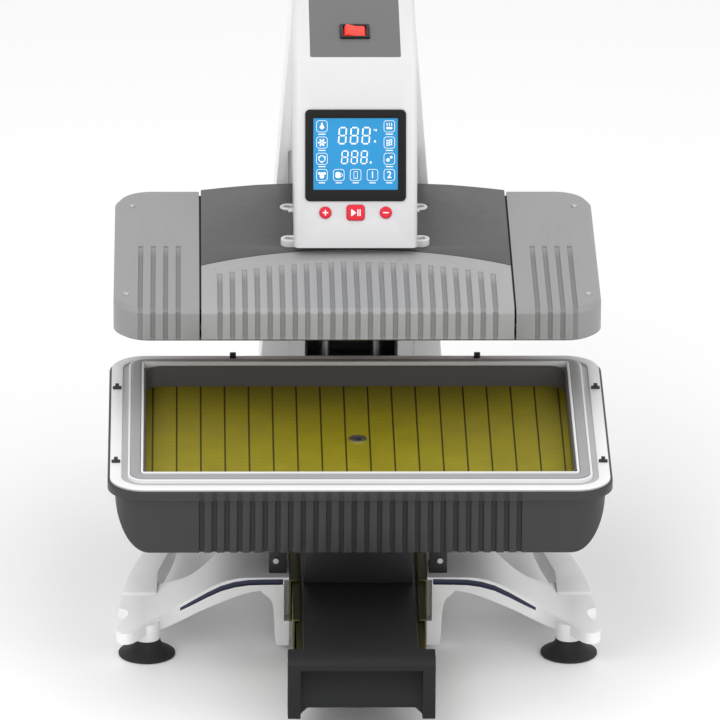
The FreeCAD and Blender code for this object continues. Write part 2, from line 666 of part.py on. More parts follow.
column = column_prism(0.0, COLUMN_FRONT_Y, COLUMN_BACK_Y, COLUMN_BOTTOM_Z, COLUMN_TOP_Z)
back_edges = [e for e in column.Edges
              if e.BoundBox.ZLength > 300 and e.BoundBox.YMin > COLUMN_BACK_Y - 1]
top_edges = [e for e in column.Edges
             if e.BoundBox.ZMin > COLUMN_TOP_Z - 1 and e.BoundBox.YLength > 50]
column = column.makeFillet(COLUMN_EDGE_R, back_edges + top_edges)
column = column.cut(column_prism(COLUMN_WALL, COLUMN_FRONT_Y + COLUMN_WALL,
                                 COLUMN_BACK_Y - COLUMN_WALL,
                                 COLUMN_BOTTOM_Z + COLUMN_FLOOR_T,
                                 COLUMN_TOP_Z - COLUMN_ROOF_T))
column = column.cut(box(-CHANNEL_HALF_X, CHANNEL_HALF_X, COLUMN_FRONT_Y - PAST,
                        COLUMN_FRONT_Y + 2 * COLUMN_WALL, CHANNEL_BOTTOM_Z, CHANNEL_TOP_Z))
for sign in (-1, 1):
    step_x = sorted((sign * CHANNEL_HALF_X, sign * CHANNEL_STEP_HALF_X))
    column = column.cut(box(step_x[0], step_x[1], COLUMN_FRONT_Y - PAST,
                            COLUMN_FRONT_Y + CHANNEL_STEP_D, CHANNEL_BOTTOM_Z,
                            CHANNEL_STEP_TOP_Z))
inlet_hole = box(-INLET_HALF_X, INLET_HALF_X, COLUMN_BACK_Y - 2 * COLUMN_WALL,
                 COLUMN_BACK_Y + PAST, INLET_BOTTOM_Z, INLET_TOP_Z)
keep("column_shell", column.cut(inlet_hole))

liner = box(-CHANNEL_HALF_X, CHANNEL_HALF_X, COLUMN_FRONT_Y + CHANNEL_STEP_D,
            COLUMN_FRONT_Y + CHANNEL_D, CHANNEL_BOTTOM_Z, CHANNEL_TOP_Z)
liner = liner.cut(box(-CHANNEL_HALF_X + CHANNEL_WALL, CHANNEL_HALF_X - CHANNEL_WALL,
                      COLUMN_FRONT_Y, COLUMN_FRONT_Y + CHANNEL_D - CHANNEL_WALL,
                      CHANNEL_BOTTOM_Z + CHANNEL_WALL, CHANNEL_TOP_Z - CHANNEL_WALL))
keep("column_channel", liner)

ROD_BOTTOM_Z = CHANNEL_BOTTOM_Z + CHANNEL_WALL
ROD_TOP_Z = CHANNEL_TOP_Z - CHANNEL_WALL
for side_name, sign in (("left", -1), ("right", 1)):
    keep("guide_rod_" + side_name,
         cyl(ROD_R, (sign * ROD_X, ROD_Y, ROD_BOTTOM_Z), (0, 0, 1), ROD_TOP_Z - ROD_BOTTOM_Z))
inlet = box(-INLET_HALF_X + INLET_GAP, INLET_HALF_X - INLET_GAP, COLUMN_BACK_Y - 9.0,
            COLUMN_BACK_Y + 1.5, INLET_BOTTOM_Z + INLET_GAP, INLET_TOP_Z - INLET_GAP)
inlet = inlet.cut(box(-13.0, 13.0, COLUMN_BACK_Y - 6.0, COLUMN_BACK_Y + 5.0, 118.0, 138.0))
keep("power_inlet", inlet)

# ---------------------------------------------------------------------------
# arm with the control box: leaning front face, gently rising roof
# ---------------------------------------------------------------------------
ARM_SIDE = [
    (ARM_FRONT_Y, ARM_BOTTOM_Z), (ARM_FACE_TOP_Y, ARM_FACE_TOP_Z),
    (COLUMN_FRONT_Y, COLUMN_TOP_Z), (COLUMN_FRONT_Y, ARM_STEP_Z),
    (ARM_STEP_Y, ARM_STEP_Z), (ARM_STEP_Y, ARM_BOTTOM_Z),
]
arm = side(ARM_SIDE, -ARM_HALF_X, ARM_HALF_X)
long_edges = []
for edge in arm.Edges:
    bb = edge.BoundBox
    on_side = bb.XLength < 0.1 and bb.YMin < 60
    leaning = on_side and bb.ZLength > 100 and bb.YLength > 50
    roof = bb.XLength < 0.1 and bb.ZMin > ARM_FACE_TOP_Z - 1 and bb.YLength > 100
    if leaning or roof:
        long_edges.append(edge)
arm = arm.makeFillet(ARM_EDGE_R, long_edges)
inner_face = Part.Face(Part.makePolygon(
    [vec(0, y, z) for y, z in ARM_SIDE + ARM_SIDE[:1]])).makeOffset2D(-ARM_WALL, 2)
hollow = inner_face.extrude(vec(2 * (ARM_HALF_X - ARM_WALL), 0, 0))
hollow.translate(vec(-(ARM_HALF_X - ARM_WALL), 0, 0))
arm = arm.cut(hollow)
arm = arm.cut(box(-RAM_SIDE / 2 - RAM_GAP, RAM_SIDE / 2 + RAM_GAP,
                  SCREW_Y - RAM_SIDE / 2 - RAM_GAP, SCREW_Y + RAM_SIDE / 2 + RAM_GAP,
                  ARM_BOTTOM_Z - PAST, ARM_BOTTOM_Z + 2 * ARM_WALL))

FACE_LEAN = math.degrees(math.atan2(ARM_FACE_TOP_Z - ARM_BOTTOM_Z, ARM_FACE_TOP_Y - ARM_FRONT_Y))
ROOF_LEAN = math.degrees(math.atan2(COLUMN_TOP_Z - ARM_FACE_TOP_Z,
                                    COLUMN_FRONT_Y - ARM_FACE_TOP_Y))
BUTTON_UP = 36.7
BUTTON_X = 31.3
BUTTON_R = 6.0
START_W = 18.4
START_H = 16.0
DISPLAY_UP = 96.0
DISPLAY_W = 104.5
DISPLAY_H = 95.0
SCREEN_UP = 97.5
SCREEN_W = 87.5
SCREEN_H = 74.0
BUTTON_GAP = 0.3
KEY_FLANGE = 1.5
KEY_BOTTOM = -6.0
KEY_NECK = -4.5
KEY_TOP = 2.0
START_R = 3.5
BEZEL_T = 2.0
BEZEL_R = 5.0
SCREEN_BACK = -6.0
SCREEN_FRONT = 1.2
SCREEN_GAP = 2.0
FACE_CUT = 12.0


def on_face(shape):
    """Move a piece drawn flat on to the control box's leaning face."""
    return leaned(shape, FACE_LEAN, ARM_FRONT_Y, ARM_BOTTOM_Z)


def on_roof(shape):
    """Move a piece drawn flat on to the arm's rising roof."""
    return leaned(shape, ROOF_LEAN, ARM_FACE_TOP_Y, ARM_FACE_TOP_Z)


def round_button(x):
    """Round key with a flange behind the face that keeps it in."""
    stem = cyl(BUTTON_R, (x, BUTTON_UP, KEY_NECK), (0, 0, 1), KEY_TOP - KEY_NECK)
    flange = cyl(BUTTON_R + KEY_FLANGE, (x, BUTTON_UP, KEY_BOTTOM), (0, 0, 1),
                 KEY_NECK - KEY_BOTTOM)
    return fused([stem, flange])


start_stem = rounded(START_W, START_H, START_R, KEY_NECK, KEY_TOP, 0.0, BUTTON_UP)
start_flange = rounded(START_W + 2 * KEY_FLANGE, START_H + 2 * KEY_FLANGE, START_R + 1.0,
                       KEY_BOTTOM, KEY_NECK, 0.0, BUTTON_UP)
keep("button_plus", on_face(round_button(-BUTTON_X)))
keep("button_minus", on_face(round_button(BUTTON_X)))
keep("button_start", on_face(fused([start_stem, start_flange])))
for sign in (-1, 1):
    arm = arm.cut(on_face(cyl(BUTTON_R + BUTTON_GAP, (sign * BUTTON_X, BUTTON_UP, -FACE_CUT),
                              (0, 0, 1), 2 * FACE_CUT)))
arm = arm.cut(on_face(rounded(START_W + 2 * BUTTON_GAP, START_H + 2 * BUTTON_GAP,
                              START_R + BUTTON_GAP, -FACE_CUT, FACE_CUT, 0.0, BUTTON_UP)))


def screen_box(margin, low, high):
    """Block as wide and tall as the screen plus a margin."""
    return box(-SCREEN_W / 2 - margin, SCREEN_W / 2 + margin, SCREEN_UP - SCREEN_H / 2 - margin,
               SCREEN_UP + SCREEN_H / 2 + margin, low, high)


arm = arm.cut(on_face(screen_box(SCREEN_GAP, -FACE_CUT, FACE_CUT)))
bezel = rounded(DISPLAY_W, DISPLAY_H, BEZEL_R, 0.0, BEZEL_T, 0.0, DISPLAY_UP)
keep("display_bezel", on_face(bezel.cut(screen_box(0.0, -PAST, BEZEL_T + PAST))))
keep("display_screen", on_face(screen_box(0.0, SCREEN_BACK, SCREEN_FRONT)))

SWITCH_AT = 64.0
SWITCH_W = 31.0
SWITCH_L = 34.0
ROOF_PANEL_T = 1.6
ROOF_PANEL_W = 94.0
WELL_HALF_X = 13.4
WELL_HALF_Y = 14.4
WELL_GAP = 0.1
WELL_BOTTOM = -19.0
ROOF_LEN = math.hypot(COLUMN_FRONT_Y - ARM_FACE_TOP_Y, COLUMN_TOP_Z - ARM_FACE_TOP_Z)
roof_panel = rounded(ROOF_PANEL_W, ROOF_LEN - 4.0, 3.0, -ROOF_PANEL_T, 0.0, 0.0, ROOF_LEN / 2)
arm = arm.cut(on_roof(roof_panel))
switch_hole = box(-WELL_HALF_X - WELL_GAP, WELL_HALF_X + WELL_GAP,
                  SWITCH_AT - WELL_HALF_Y - WELL_GAP, SWITCH_AT + WELL_HALF_Y + WELL_GAP,
                  -25.0, 5.0)
keep("roof_panel", on_roof(roof_panel.cut(switch_hole)))
arm = arm.cut(on_roof(switch_hole))
bezel_top = rounded(SWITCH_W, SWITCH_L, 2.0, 0.0, 2.0, 0.0, SWITCH_AT)
bezel_well = box(-WELL_HALF_X, WELL_HALF_X, SWITCH_AT - WELL_HALF_Y, SWITCH_AT + WELL_HALF_Y,
                 WELL_BOTTOM, 0.0)
well_cut = box(-11.9, 11.9, SWITCH_AT - 12.5, SWITCH_AT + 12.5, WELL_BOTTOM + 2.0, 5.0)
keep("switch_bezel", on_roof(fused([bezel_top, bezel_well]).cut(well_cut)))

ROCKER_R = 11.6
ROCKER_PIVOT_Z = -4.0
ROCKER_HALF_Y = 12.0
ROCKER_TILT = 8.0
rocker = front([(-ROCKER_R, -12.0), (ROCKER_R, -12.0), (ROCKER_R, 3.2), (0.0, 1.8),
                (-ROCKER_R, 3.2)], SWITCH_AT - ROCKER_HALF_Y, SWITCH_AT + ROCKER_HALF_Y)
rocker = rocker.common(cyl(ROCKER_R, (0, SWITCH_AT - ROCKER_HALF_Y - PAST, ROCKER_PIVOT_Z),
                           (0, 1, 0), 2 * (ROCKER_HALF_Y + PAST)))
rocker.rotate(vec(0, 0, ROCKER_PIVOT_Z), vec(0, 1, 0), ROCKER_TILT)
keep("switch_rocker", on_roof(rocker))
keep("arm_shell", arm)

MOTOR_DECK_Z = MOTOR_PLATE_Z + MOTOR_PLATE_T
motor_plate = box(-MOTOR_PLATE_HALF_X, MOTOR_PLATE_HALF_X, 12.0, COLUMN_FRONT_Y - ARM_WALL,
                  MOTOR_PLATE_Z, MOTOR_DECK_Z)
keep("motor_plate", motor_plate.cut(cyl(12.0, (0, SCREW_Y, RAM_TOP_Z), (0, 0, 1), WELL_CLEAR)))
gearbox = box(-GEARBOX_HALF_X, GEARBOX_HALF_X, SCREW_Y - GEARBOX_HALF_Y,
              SCREW_Y + GEARBOX_HALF_Y, MOTOR_DECK_Z, GEARBOX_TOP_Z)
gearbox = gearbox.cut(cyl(SCREW_R + RUNNING_GAP, (0, SCREW_Y, RAM_TOP_Z), (0, 0, 1), WELL_CLEAR))
keep("lift_gearbox", gearbox)
motor_can = cyl(MOTOR_R, (0, SCREW_Y + GEARBOX_HALF_Y, MOTOR_PLATE_Z + MOTOR_AXIS_UP), (0, 1, 0),
                MOTOR_LEN)
motor_foot = box(-15.0, 15.0, SCREW_Y + 30.0, SCREW_Y + 80.0, MOTOR_DECK_Z, 415.0)
keep("lift_motor", fused([motor_can, motor_foot]))

# ---------------------------------------------------------------------------
# heated head
# ---------------------------------------------------------------------------


def head_solid(inset, z0, top_drop):
    """Whole head outline, optionally inset, with the bevelled top edge."""
    width = HEAD_W - 2 * inset
    depth = HEAD_D - 2 * inset
    body = rounded(width, depth, HEAD_R - inset, z0, HEAD_TOP_Z - top_drop)
    rim_edges = [e for e in body.Edges if e.BoundBox.ZMin > HEAD_TOP_Z - top_drop - 0.01]
    return body.makeChamfer(HEAD_BEVEL, rim_edges)


def dome(lowered):
    """Low arch over the middle of the head, rising to the back."""
    arch_r = (CAP_INNER_X ** 2) / (2 * DOME_RISE)
    roof = cyl(arch_r, (0, -200.0, HEAD_TOP_Z + DOME_RISE - arch_r - lowered), (0, 1, 0), 400.0)
    slope = side([(0.0, HEAD_TOP_Z - 8.0 - lowered), (0.0, HEAD_TOP_Z - lowered),
                  (172.0, HEAD_TOP_Z + DOME_RISE - lowered),
                  (176.0, HEAD_TOP_Z + DOME_RISE - 4.0 - lowered),
                  (176.0, HEAD_TOP_Z - 8.0 - lowered)], -CAP_INNER_X, CAP_INNER_X)
    return slope.common(roof)


outer_head = fused([head_solid(0.0, HEAD_BOTTOM_Z, 0.0), dome(0.0)])
inner_head = head_solid(HEAD_WALL, HEAD_BOTTOM_Z - 5.0, HEAD_WALL)
shell = outer_head.cut(inner_head)

HEAD_BAR_TOP_Z = HEAD_TOP_Z - HEAD_WALL
arc_centre_y = ARC_TOP_Y - ARC_R
arc_light = cyl(ARC_R - SEAM / 2, (0, arc_centre_y, 250.0), (0, 0, 1), 150.0)
arc_dark = cyl(ARC_R + SEAM / 2, (0, arc_centre_y, 250.0), (0, 0, 1), 150.0)
middle = box(-CAP_INNER_X + SEAM, CAP_INNER_X - SEAM, -200.0, 200.0, 250.0, 400.0)
left_zone = box(-300.0, -CAP_INNER_X - SEAM, -200.0, 200.0, 250.0, 400.0)
right_zone = box(CAP_INNER_X + SEAM, 300.0, -200.0, 200.0, 250.0, 400.0)



def groove_cuts(gx, half, sink, back_y):
    """Cutters for one stripe that runs over the head's top and down its front."""
    front_y = -HEAD_D / 2
    top_z = HEAD_TOP_Z + WELL_CLEAR
    top_cut = box(gx - half, gx + half, front_y - PAST, back_y, HEAD_TOP_Z - sink, top_z)
    face_cut = box(gx - half, gx + half, front_y - PAST, front_y + sink, GROOVE_BOTTOM_Z, top_z)
    return [top_cut, face_cut]


cap_cuts = []
for gx in CAP_GROOVES:
    for sign in (-1, 1):
        cap_cuts += groove_cuts(sign * gx, CAP_GROOVE_HALF, CAP_GROOVE_SINK, CAP_GROOVE_BACK_Y)
cap_shell = shell.cut(group(cap_cuts))
keep("head_cap_left", cap_shell.common(left_zone))
keep("head_cap_right", cap_shell.common(right_zone))

front_cuts = []
for index in range(-COVER_GROOVES, COVER_GROOVES + 1):
    gx = GROOVE_PITCH * index
    edge_y = arc_centre_y + math.sqrt(ARC_R ** 2 - gx ** 2) - GROOVE_CLEAR
    front_cuts += groove_cuts(gx, GROOVE_W / 2, GROOVE_SINK, edge_y)
keep("head_front_cover", shell.common(middle).common(arc_light).cut(group(front_cuts)))
rear_cover = shell.common(middle).cut(arc_dark)

HEATER_TOP_Z = FRAME_TOP_Z + HEATER_T
HEAD_INNER_W = HEAD_W - 2 * HEAD_WALL
HEAD_INNER_D = HEAD_D - 2 * HEAD_WALL
keep("heater_plate", rounded(HEAD_W - 2 * HEATER_SIDE_MARGIN, HEAD_D - 2 * HEATER_END_MARGIN,
                             HEATER_R, FRAME_TOP_Z, HEATER_TOP_Z))
keep("insulation", rounded(HEAD_INNER_W - 2 * INSULATION_MARGIN,
                           HEAD_INNER_D - 2 * INSULATION_MARGIN,
                           HEAD_R - HEAD_WALL - INSULATION_MARGIN, HEATER_TOP_Z,
                           HEAD_BAR_TOP_Z))
keep("membrane_frame", ring(HEAD_INNER_W, HEAD_INNER_D, HEAD_R - HEAD_WALL, FRAME_BAND,
                            FRAME_BOTTOM_Z, FRAME_TOP_Z, 0.0))
keep("membrane", rounded(HEAD_INNER_W - 2 * FRAME_BAND, HEAD_INNER_D - 2 * FRAME_BAND,
                         MEMBRANE_R, MEMBRANE_BOTTOM_Z, FRAME_TOP_Z))

FLANGE_TOP_Z = ARM_BOTTOM_Z - 0.5
flange_parts = [box(-60.0, 60.0, 2.0, 112.0, HEAD_BAR_TOP_Z, FLANGE_TOP_Z)]
lug_spots = [(sx * LUG_X, ly) for sx in (-1, 1) for ly in (LUG_FRONT_Y, LUG_BACK_Y)]
for lug_x, lug_y in lug_spots:
    inner_x = math.copysign(50.0, lug_x)
    arm_x = sorted((inner_x, lug_x))
    flange_parts.append(cyl(LUG_R, (lug_x, lug_y, HEAD_BAR_TOP_Z), (0, 0, 1),
                            FLANGE_TOP_Z - HEAD_BAR_TOP_Z))
    flange_parts.append(box(arm_x[0], arm_x[1], min(lug_y - LUG_R, 112.0 - 2 * LUG_R),
                            min(lug_y + LUG_R, 112.0), HEAD_BAR_TOP_Z, FLANGE_TOP_Z))
flange_full = fused(flange_parts)
flange = flange_full
for lug_x, lug_y in lug_spots:
    flange = flange.cut(cyl(LUG_WELL_R, (lug_x, lug_y, FLANGE_TOP_Z - LUG_WELL_D), (0, 0, 1),
                            2 * LUG_WELL_D))
flange = flange.cut(cyl(SCREW_R, (0, SCREW_Y, HEAD_BAR_TOP_Z), (0, 0, 1), 2 * SCREW_R))
keep("hanger_flange", flange)
keep("hanger_screws", group([
    cyl(LUG_SCREW_R, (lug_x, lug_y, FLANGE_TOP_Z - LUG_WELL_D), (0, 0, 1), 2.6)
    for lug_x, lug_y in lug_spots]))

neck_block = box(-NECK_HALF_X, NECK_HALF_X, NECK_FRONT_Y, NECK_BACK_Y, HEAD_BAR_TOP_Z, NECK_TOP_Z)
tongue = box(-40.0, 40.0, NECK_BACK_Y, 232.0, 347.0, NECK_TOP_Z)
runner = box(-44.0, 44.0, 230.0, 260.0, 310.0, 400.0)
neck = fused([neck_block, tongue, runner])
for sign in (-1, 1):
    neck = neck.cut(cyl(ROD_R + RUNNING_GAP, (sign * ROD_X, ROD_Y, ROD_BOTTOM_Z), (0, 0, 1),
                        ROD_TOP_Z - ROD_BOTTOM_Z))
keep("neck_bracket", neck)

for piece in (flange_full, neck_block, tongue):
    rear_cover = rear_cover.cut(piece)
keep("head_rear_cover", rear_cover)
NODES["head_front_cover"] = NODES["head_front_cover"].cut(flange_full)

ram = box(-RAM_SIDE / 2, RAM_SIDE / 2, SCREW_Y - RAM_SIDE / 2, SCREW_Y + RAM_SIDE / 2,
          FLANGE_TOP_Z, RAM_TOP_Z)
ram = ram.cut(box(-RAM_SIDE / 2 + RAM_WALL, RAM_SIDE / 2 - RAM_WALL,
                  SCREW_Y - RAM_SIDE / 2 + RAM_WALL, SCREW_Y + RAM_SIDE / 2 - RAM_WALL,
                  FLANGE_TOP_Z - PAST, RAM_TOP_Z + PAST))
keep("ram_tube", ram)
keep("lead_screw", cyl(SCREW_R, (0, SCREW_Y, HEAD_BAR_TOP_Z), (0, 0, 1),
                       SCREW_TOP_Z - HEAD_BAR_TOP_Z))

cap_screws = []
for cx, cy in CAP_SCREWS:
    for sign in (-1, 1):
        cap_screws.append(cyl(SMALL_SCREW_R, (sign * cx, cy, HEAD_TOP_Z), (0, 0, 1), CAP_SCREW_T))
keep("cap_screws", group(cap_screws))

# ---------------------------------------------------------------------------
# centre the row on the floor and write one file per node
# ---------------------------------------------------------------------------
everything = Part.makeCompound(list(NODES.values())).BoundBox
SHIFT = vec(-everything.Center.x, -everything.Center.y, -everything.ZMin)
os.makedirs("parts", exist_ok=True)
for name, shape in NODES.items():
    placed = shape.copy()
    placed.translate(SHIFT)
    assert placed.isValid(), name
    for solid in placed.Solids:
        assert solid.Volume > 1.0, name
    Part.Shape(placed).exportStep("parts/" + name + ".step")
print("nodes", len(NODES), "shift", SHIFT, "size", everything.XLength, everything.YLength,
      everything.ZLength)
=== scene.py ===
import json
import logging
import math
from dataclasses import dataclass, field
from enum import Enum
from typing import Any, Callable, Iterable, Sequence

import bmesh
import bpy
from mathutils import Matrix, Vector

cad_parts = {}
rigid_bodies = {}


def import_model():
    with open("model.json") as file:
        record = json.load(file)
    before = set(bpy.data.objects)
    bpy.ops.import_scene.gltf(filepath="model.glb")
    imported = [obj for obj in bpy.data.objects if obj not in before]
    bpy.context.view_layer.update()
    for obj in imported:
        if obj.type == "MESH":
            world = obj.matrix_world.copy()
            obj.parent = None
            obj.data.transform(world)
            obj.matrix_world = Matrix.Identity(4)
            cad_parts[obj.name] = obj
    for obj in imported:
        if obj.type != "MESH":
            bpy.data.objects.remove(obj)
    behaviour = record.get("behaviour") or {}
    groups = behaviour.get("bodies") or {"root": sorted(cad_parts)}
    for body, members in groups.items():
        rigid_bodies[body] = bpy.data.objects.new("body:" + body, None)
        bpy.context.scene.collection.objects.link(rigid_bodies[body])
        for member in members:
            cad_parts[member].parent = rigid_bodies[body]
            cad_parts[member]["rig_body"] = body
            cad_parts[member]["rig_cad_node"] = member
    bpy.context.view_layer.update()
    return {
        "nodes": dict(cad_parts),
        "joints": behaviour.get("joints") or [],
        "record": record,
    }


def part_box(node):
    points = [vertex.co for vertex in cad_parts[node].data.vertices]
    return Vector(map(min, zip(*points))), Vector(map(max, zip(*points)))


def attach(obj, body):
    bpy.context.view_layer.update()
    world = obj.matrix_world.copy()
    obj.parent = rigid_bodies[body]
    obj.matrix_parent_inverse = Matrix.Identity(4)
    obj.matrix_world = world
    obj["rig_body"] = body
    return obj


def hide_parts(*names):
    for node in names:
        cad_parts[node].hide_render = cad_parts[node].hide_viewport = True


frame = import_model()
LOG = logging.getLogger("heat_press")
Colour = tuple[float, float, float]
Place = tuple[float, float, float]


# --------------------------------------------------------------------------
# shader tools
# --------------------------------------------------------------------------
def two_way(operation: str) -> tuple[Callable[..., "Signal"], Callable[..., "Signal"]]:
    """Return the two methods of one arithmetic sign.

    Args:
        operation: the Math node's operation.

    Returns:
        The method for a signal left of the sign, and the one for a signal right of it.
    """
    def ahead(self: "Signal", other: Any) -> "Signal":
        """Return the result with the signal first."""
        return self.math(operation, self, other)

    def behind(self: "Signal", other: Any) -> "Signal":
        """Return the result with the signal second."""
        return self.math(operation, other, self)

    return ahead, behind


class Signal:
    """One number socket of a shader, with the arithmetic that finishes use."""

    def __init__(self, recipe: "Recipe", socket: bpy.types.NodeSocket) -> None:
        """Keep the socket and the recipe that its nodes belong to."""
        self.recipe = recipe
        self.socket = socket

    def math(self, operation: str, first: Any, second: Any) -> "Signal":
        """Add one Math node.

        Args:
            operation: the node's operation.
            first: a Signal or a number.
            second: a Signal or a number.

        Returns:
            The node's result.
        """
        node = self.recipe.add("ShaderNodeMath", {"operation": operation}, {0: first, 1: second})
        return Signal(self.recipe, node.outputs[0])

    __add__, __radd__ = two_way("ADD")
    __sub__, __rsub__ = two_way("SUBTRACT")
    __mul__, __rmul__ = two_way("MULTIPLY")
    __truediv__, __rtruediv__ = two_way("DIVIDE")
    __pow__, __rpow__ = two_way("POWER")
    __gt__ = two_way("GREATER_THAN")[0]
    __lt__ = two_way("LESS_THAN")[0]

    def __abs__(self) -> "Signal":
        """Return the size without its sign."""
        return self.math("ABSOLUTE", self, 0.0)

    def folded(self, half: float) -> "Signal":
        """Return the distance to the nearest whole pitch, from 0 to half."""
        return self.math("PINGPONG", self, half)

    def held(self) -> "Signal":
        """Return the signal kept between 0 and 1."""
        node = self.recipe.add("ShaderNodeClamp", {}, {0: self})
        return Signal(self.recipe, node.outputs[0])


class Recipe:
    """A material under construction: its node tree and its Principled shader."""

    def __init__(self, name: str) -> None:
        """Make an empty node material of that name."""
        self.material = bpy.data.materials.new(name)
        self.material.use_nodes = True
        self.tree = self.material.node_tree
        self.tree.nodes.clear()
        output = self.tree.nodes.new("ShaderNodeOutputMaterial")
        self.shader = self.tree.nodes.new("ShaderNodeBsdfPrincipled")
        self.tree.links.new(self.shader.outputs[0], output.inputs["Surface"])
        self.place = self.add("ShaderNodeTexCoord", {}, {}).outputs["Object"]

    def add(self, kind: str, settings: dict[str, Any], inputs: dict[Any, Any]) -> bpy.types.Node:
        """Add any node.

        Args:
            kind: the node's type name.
            settings: attributes of the node to set first.
            inputs: socket name or number to a value, a socket or a Signal.

        Returns:
            The new node.
        """
        node = self.tree.nodes.new(kind)
        for key, value in settings.items():
            setattr(node, key, value)
        for key, value in inputs.items():
            self.feed(node.inputs[key], value)
        return node

    def feed(self, socket: bpy.types.NodeSocket, value: Any) -> None:
        """Link a signal or socket, or set a constant, on one input."""
        if isinstance(value, Signal):
            self.tree.links.new(value.socket, socket)
        elif isinstance(value, bpy.types.NodeSocket):
            self.tree.links.new(value, socket)
        elif isinstance(value, tuple) and len(value) == 3 and socket.type == "RGBA":
            socket.default_value = (*value, 1.0)
        else:
            socket.default_value = value

    def stretched(self, scale: Place) -> bpy.types.NodeSocket:
        """Return object coordinates scaled per axis."""
        return self.add("ShaderNodeMapping", {}, {"Vector": self.place, "Scale": scale}).outputs[0]

    def noise(self, scale: float, detail: float = 3.0, rough: float = 0.55,
              vector: Any = None) -> Signal:
        """Return a noise signal from 0 to 1.

        Args:
            scale: cells per metre.
            detail: octaves.
            rough: share of each finer octave.
            vector: coordinates, or None for the object's own.

        Returns:
            The signal.
        """
        node = self.add("ShaderNodeTexNoise", {}, {
            "Vector": vector or self.place, "Scale": scale, "Detail": detail, "Roughness": rough})
        return Signal(self, node.outputs[0])

    def axis(self, name: str) -> Signal:
        """Return one object coordinate, in metres."""
        node = self.add("ShaderNodeSeparateXYZ", {}, {0: self.place})
        return Signal(self, node.outputs[name])

    def blend(self, share: Any, first: Any, second: Any) -> bpy.types.NodeSocket:
        """Return the mix of two colours; share 0 is the first."""
        node = self.add("ShaderNodeMix", {"data_type": "RGBA"}, {0: share, 6: first, 7: second})
        return node.outputs[2]

    def bump(self, height: Signal, depth: float, strength: float = 1.0) -> None:
        """Drive the shader's normal by a height signal.

        Args:
            height: the signal.
            depth: height of a signal of 1, in metres.
            strength: share of the effect.
        """
        node = self.add("ShaderNodeBump", {}, {"Height": height, "Distance": depth,
                                               "Strength": strength})
        self.feed(self.shader.inputs["Normal"], node.outputs[0])

    def set(self, **values: Any) -> None:
        """Feed the shader's own inputs, named with _ for a space."""
        for key, value in values.items():
            self.feed(self.shader.inputs[key.replace("_", " ")], value)


def shade(colour: Colour, factor: float) -> Colour:
    """Return a colour made lighter or darker."""
    return tuple(min(1.0, channel * factor) for channel in colour)


# --------------------------------------------------------------------------
# finishes
# --------------------------------------------------------------------------
@dataclass(frozen=True)
class CastPaint:
    """Sprayed paint on a casting: slow clouding, orange peel and scuffs."""

    colour: Colour
    roughness: float = 0.42
    clouding: float = 0.05
    peel_scale: float = 420.0
    peel_depth: float = 0.00006
    coat: float = 0.15

    def make(self, name: str) -> bpy.types.Material:
        """Return the material."""
        mix = Recipe(name)
        cloud = mix.noise(scale=9.0, detail=4.0)
        fine = mix.noise(scale=self.peel_scale, detail=2.0)
        low = shade(self.colour, 1.0 - self.clouding)
        high = shade(self.colour, 1.0 + self.clouding)
        scuff = mix.noise(scale=70.0, detail=6.0, rough=0.7) ** 3.0
        mix.set(Base_Color=mix.blend(cloud, low, high),
                Roughness=self.roughness + cloud * 0.08 + scuff * 0.2, Metallic=0.0,
                Coat_Weight=self.coat, Coat_Roughness=0.25)
        mix.bump(fine + scuff * 0.3, self.peel_depth, 0.5)
        return mix.material


@dataclass(frozen=True)
class MouldedPlastic:
    """Moulded plastic with a spark-eroded grain and faint handling marks."""

    colour: Colour
    roughness: float = 0.5
    grain_scale: float = 1300.0
    grain_depth: float = 0.00005
    coat: float = 0.0
    clouding: float = 0.06
    shine: float = 0.5

    def make(self, name: str) -> bpy.types.Material:
        """Return the material."""
        mix = Recipe(name)
        grain = mix.add("ShaderNodeTexVoronoi", {"feature": "F1"}, {
            "Vector": mix.place, "Scale": self.grain_scale})
        pits = Signal(mix, grain.outputs["Distance"])
        marks = mix.noise(scale=26.0, detail=6.0, rough=0.65)
        mix.set(Base_Color=mix.blend(marks, shade(self.colour, 1.0 - self.clouding),
                                     shade(self.colour, 1.0 + self.clouding)),
                Roughness=self.roughness + marks * 0.1 - pits * 0.04,
                Coat_Weight=self.coat, Coat_Roughness=0.1, Specular_IOR_Level=self.shine)
        mix.bump(pits, self.grain_depth, 0.35)
        return mix.material


class Along(Enum):
    """Direction of the brushing on a metal."""

    X = (0.02, 1.0, 1.0)
    Y = (1.0, 0.02, 1.0)
    Z = (1.0, 1.0, 0.02)


@dataclass(frozen=True)
class BrushedMetal:
    """Metal with drawn brush lines and smears."""

    colour: Colour
    along: Along = Along.X
    roughness: float = 0.3
    line_scale: float = 1500.0
    tint: Colour | None = None

    def make(self, name: str) -> bpy.types.Material:
        """Return the material."""
        mix = Recipe(name)
        lines = mix.noise(scale=self.line_scale, detail=2.0, rough=0.6,
                          vector=mix.stretched(self.along.value))
        smear = mix.noise(scale=14.0, detail=4.0, rough=0.6)
        other = self.tint or shade(self.colour, 0.86)
        tone = mix.blend(smear, self.colour, other)
        mix.set(Base_Color=mix.blend(lines * 0.35, tone, shade(self.colour, 0.72)),
                Metallic=1.0, Roughness=self.roughness + lines * 0.18 + smear * 0.08)
        mix.bump(lines, 0.00003, 0.35)
        return mix.material


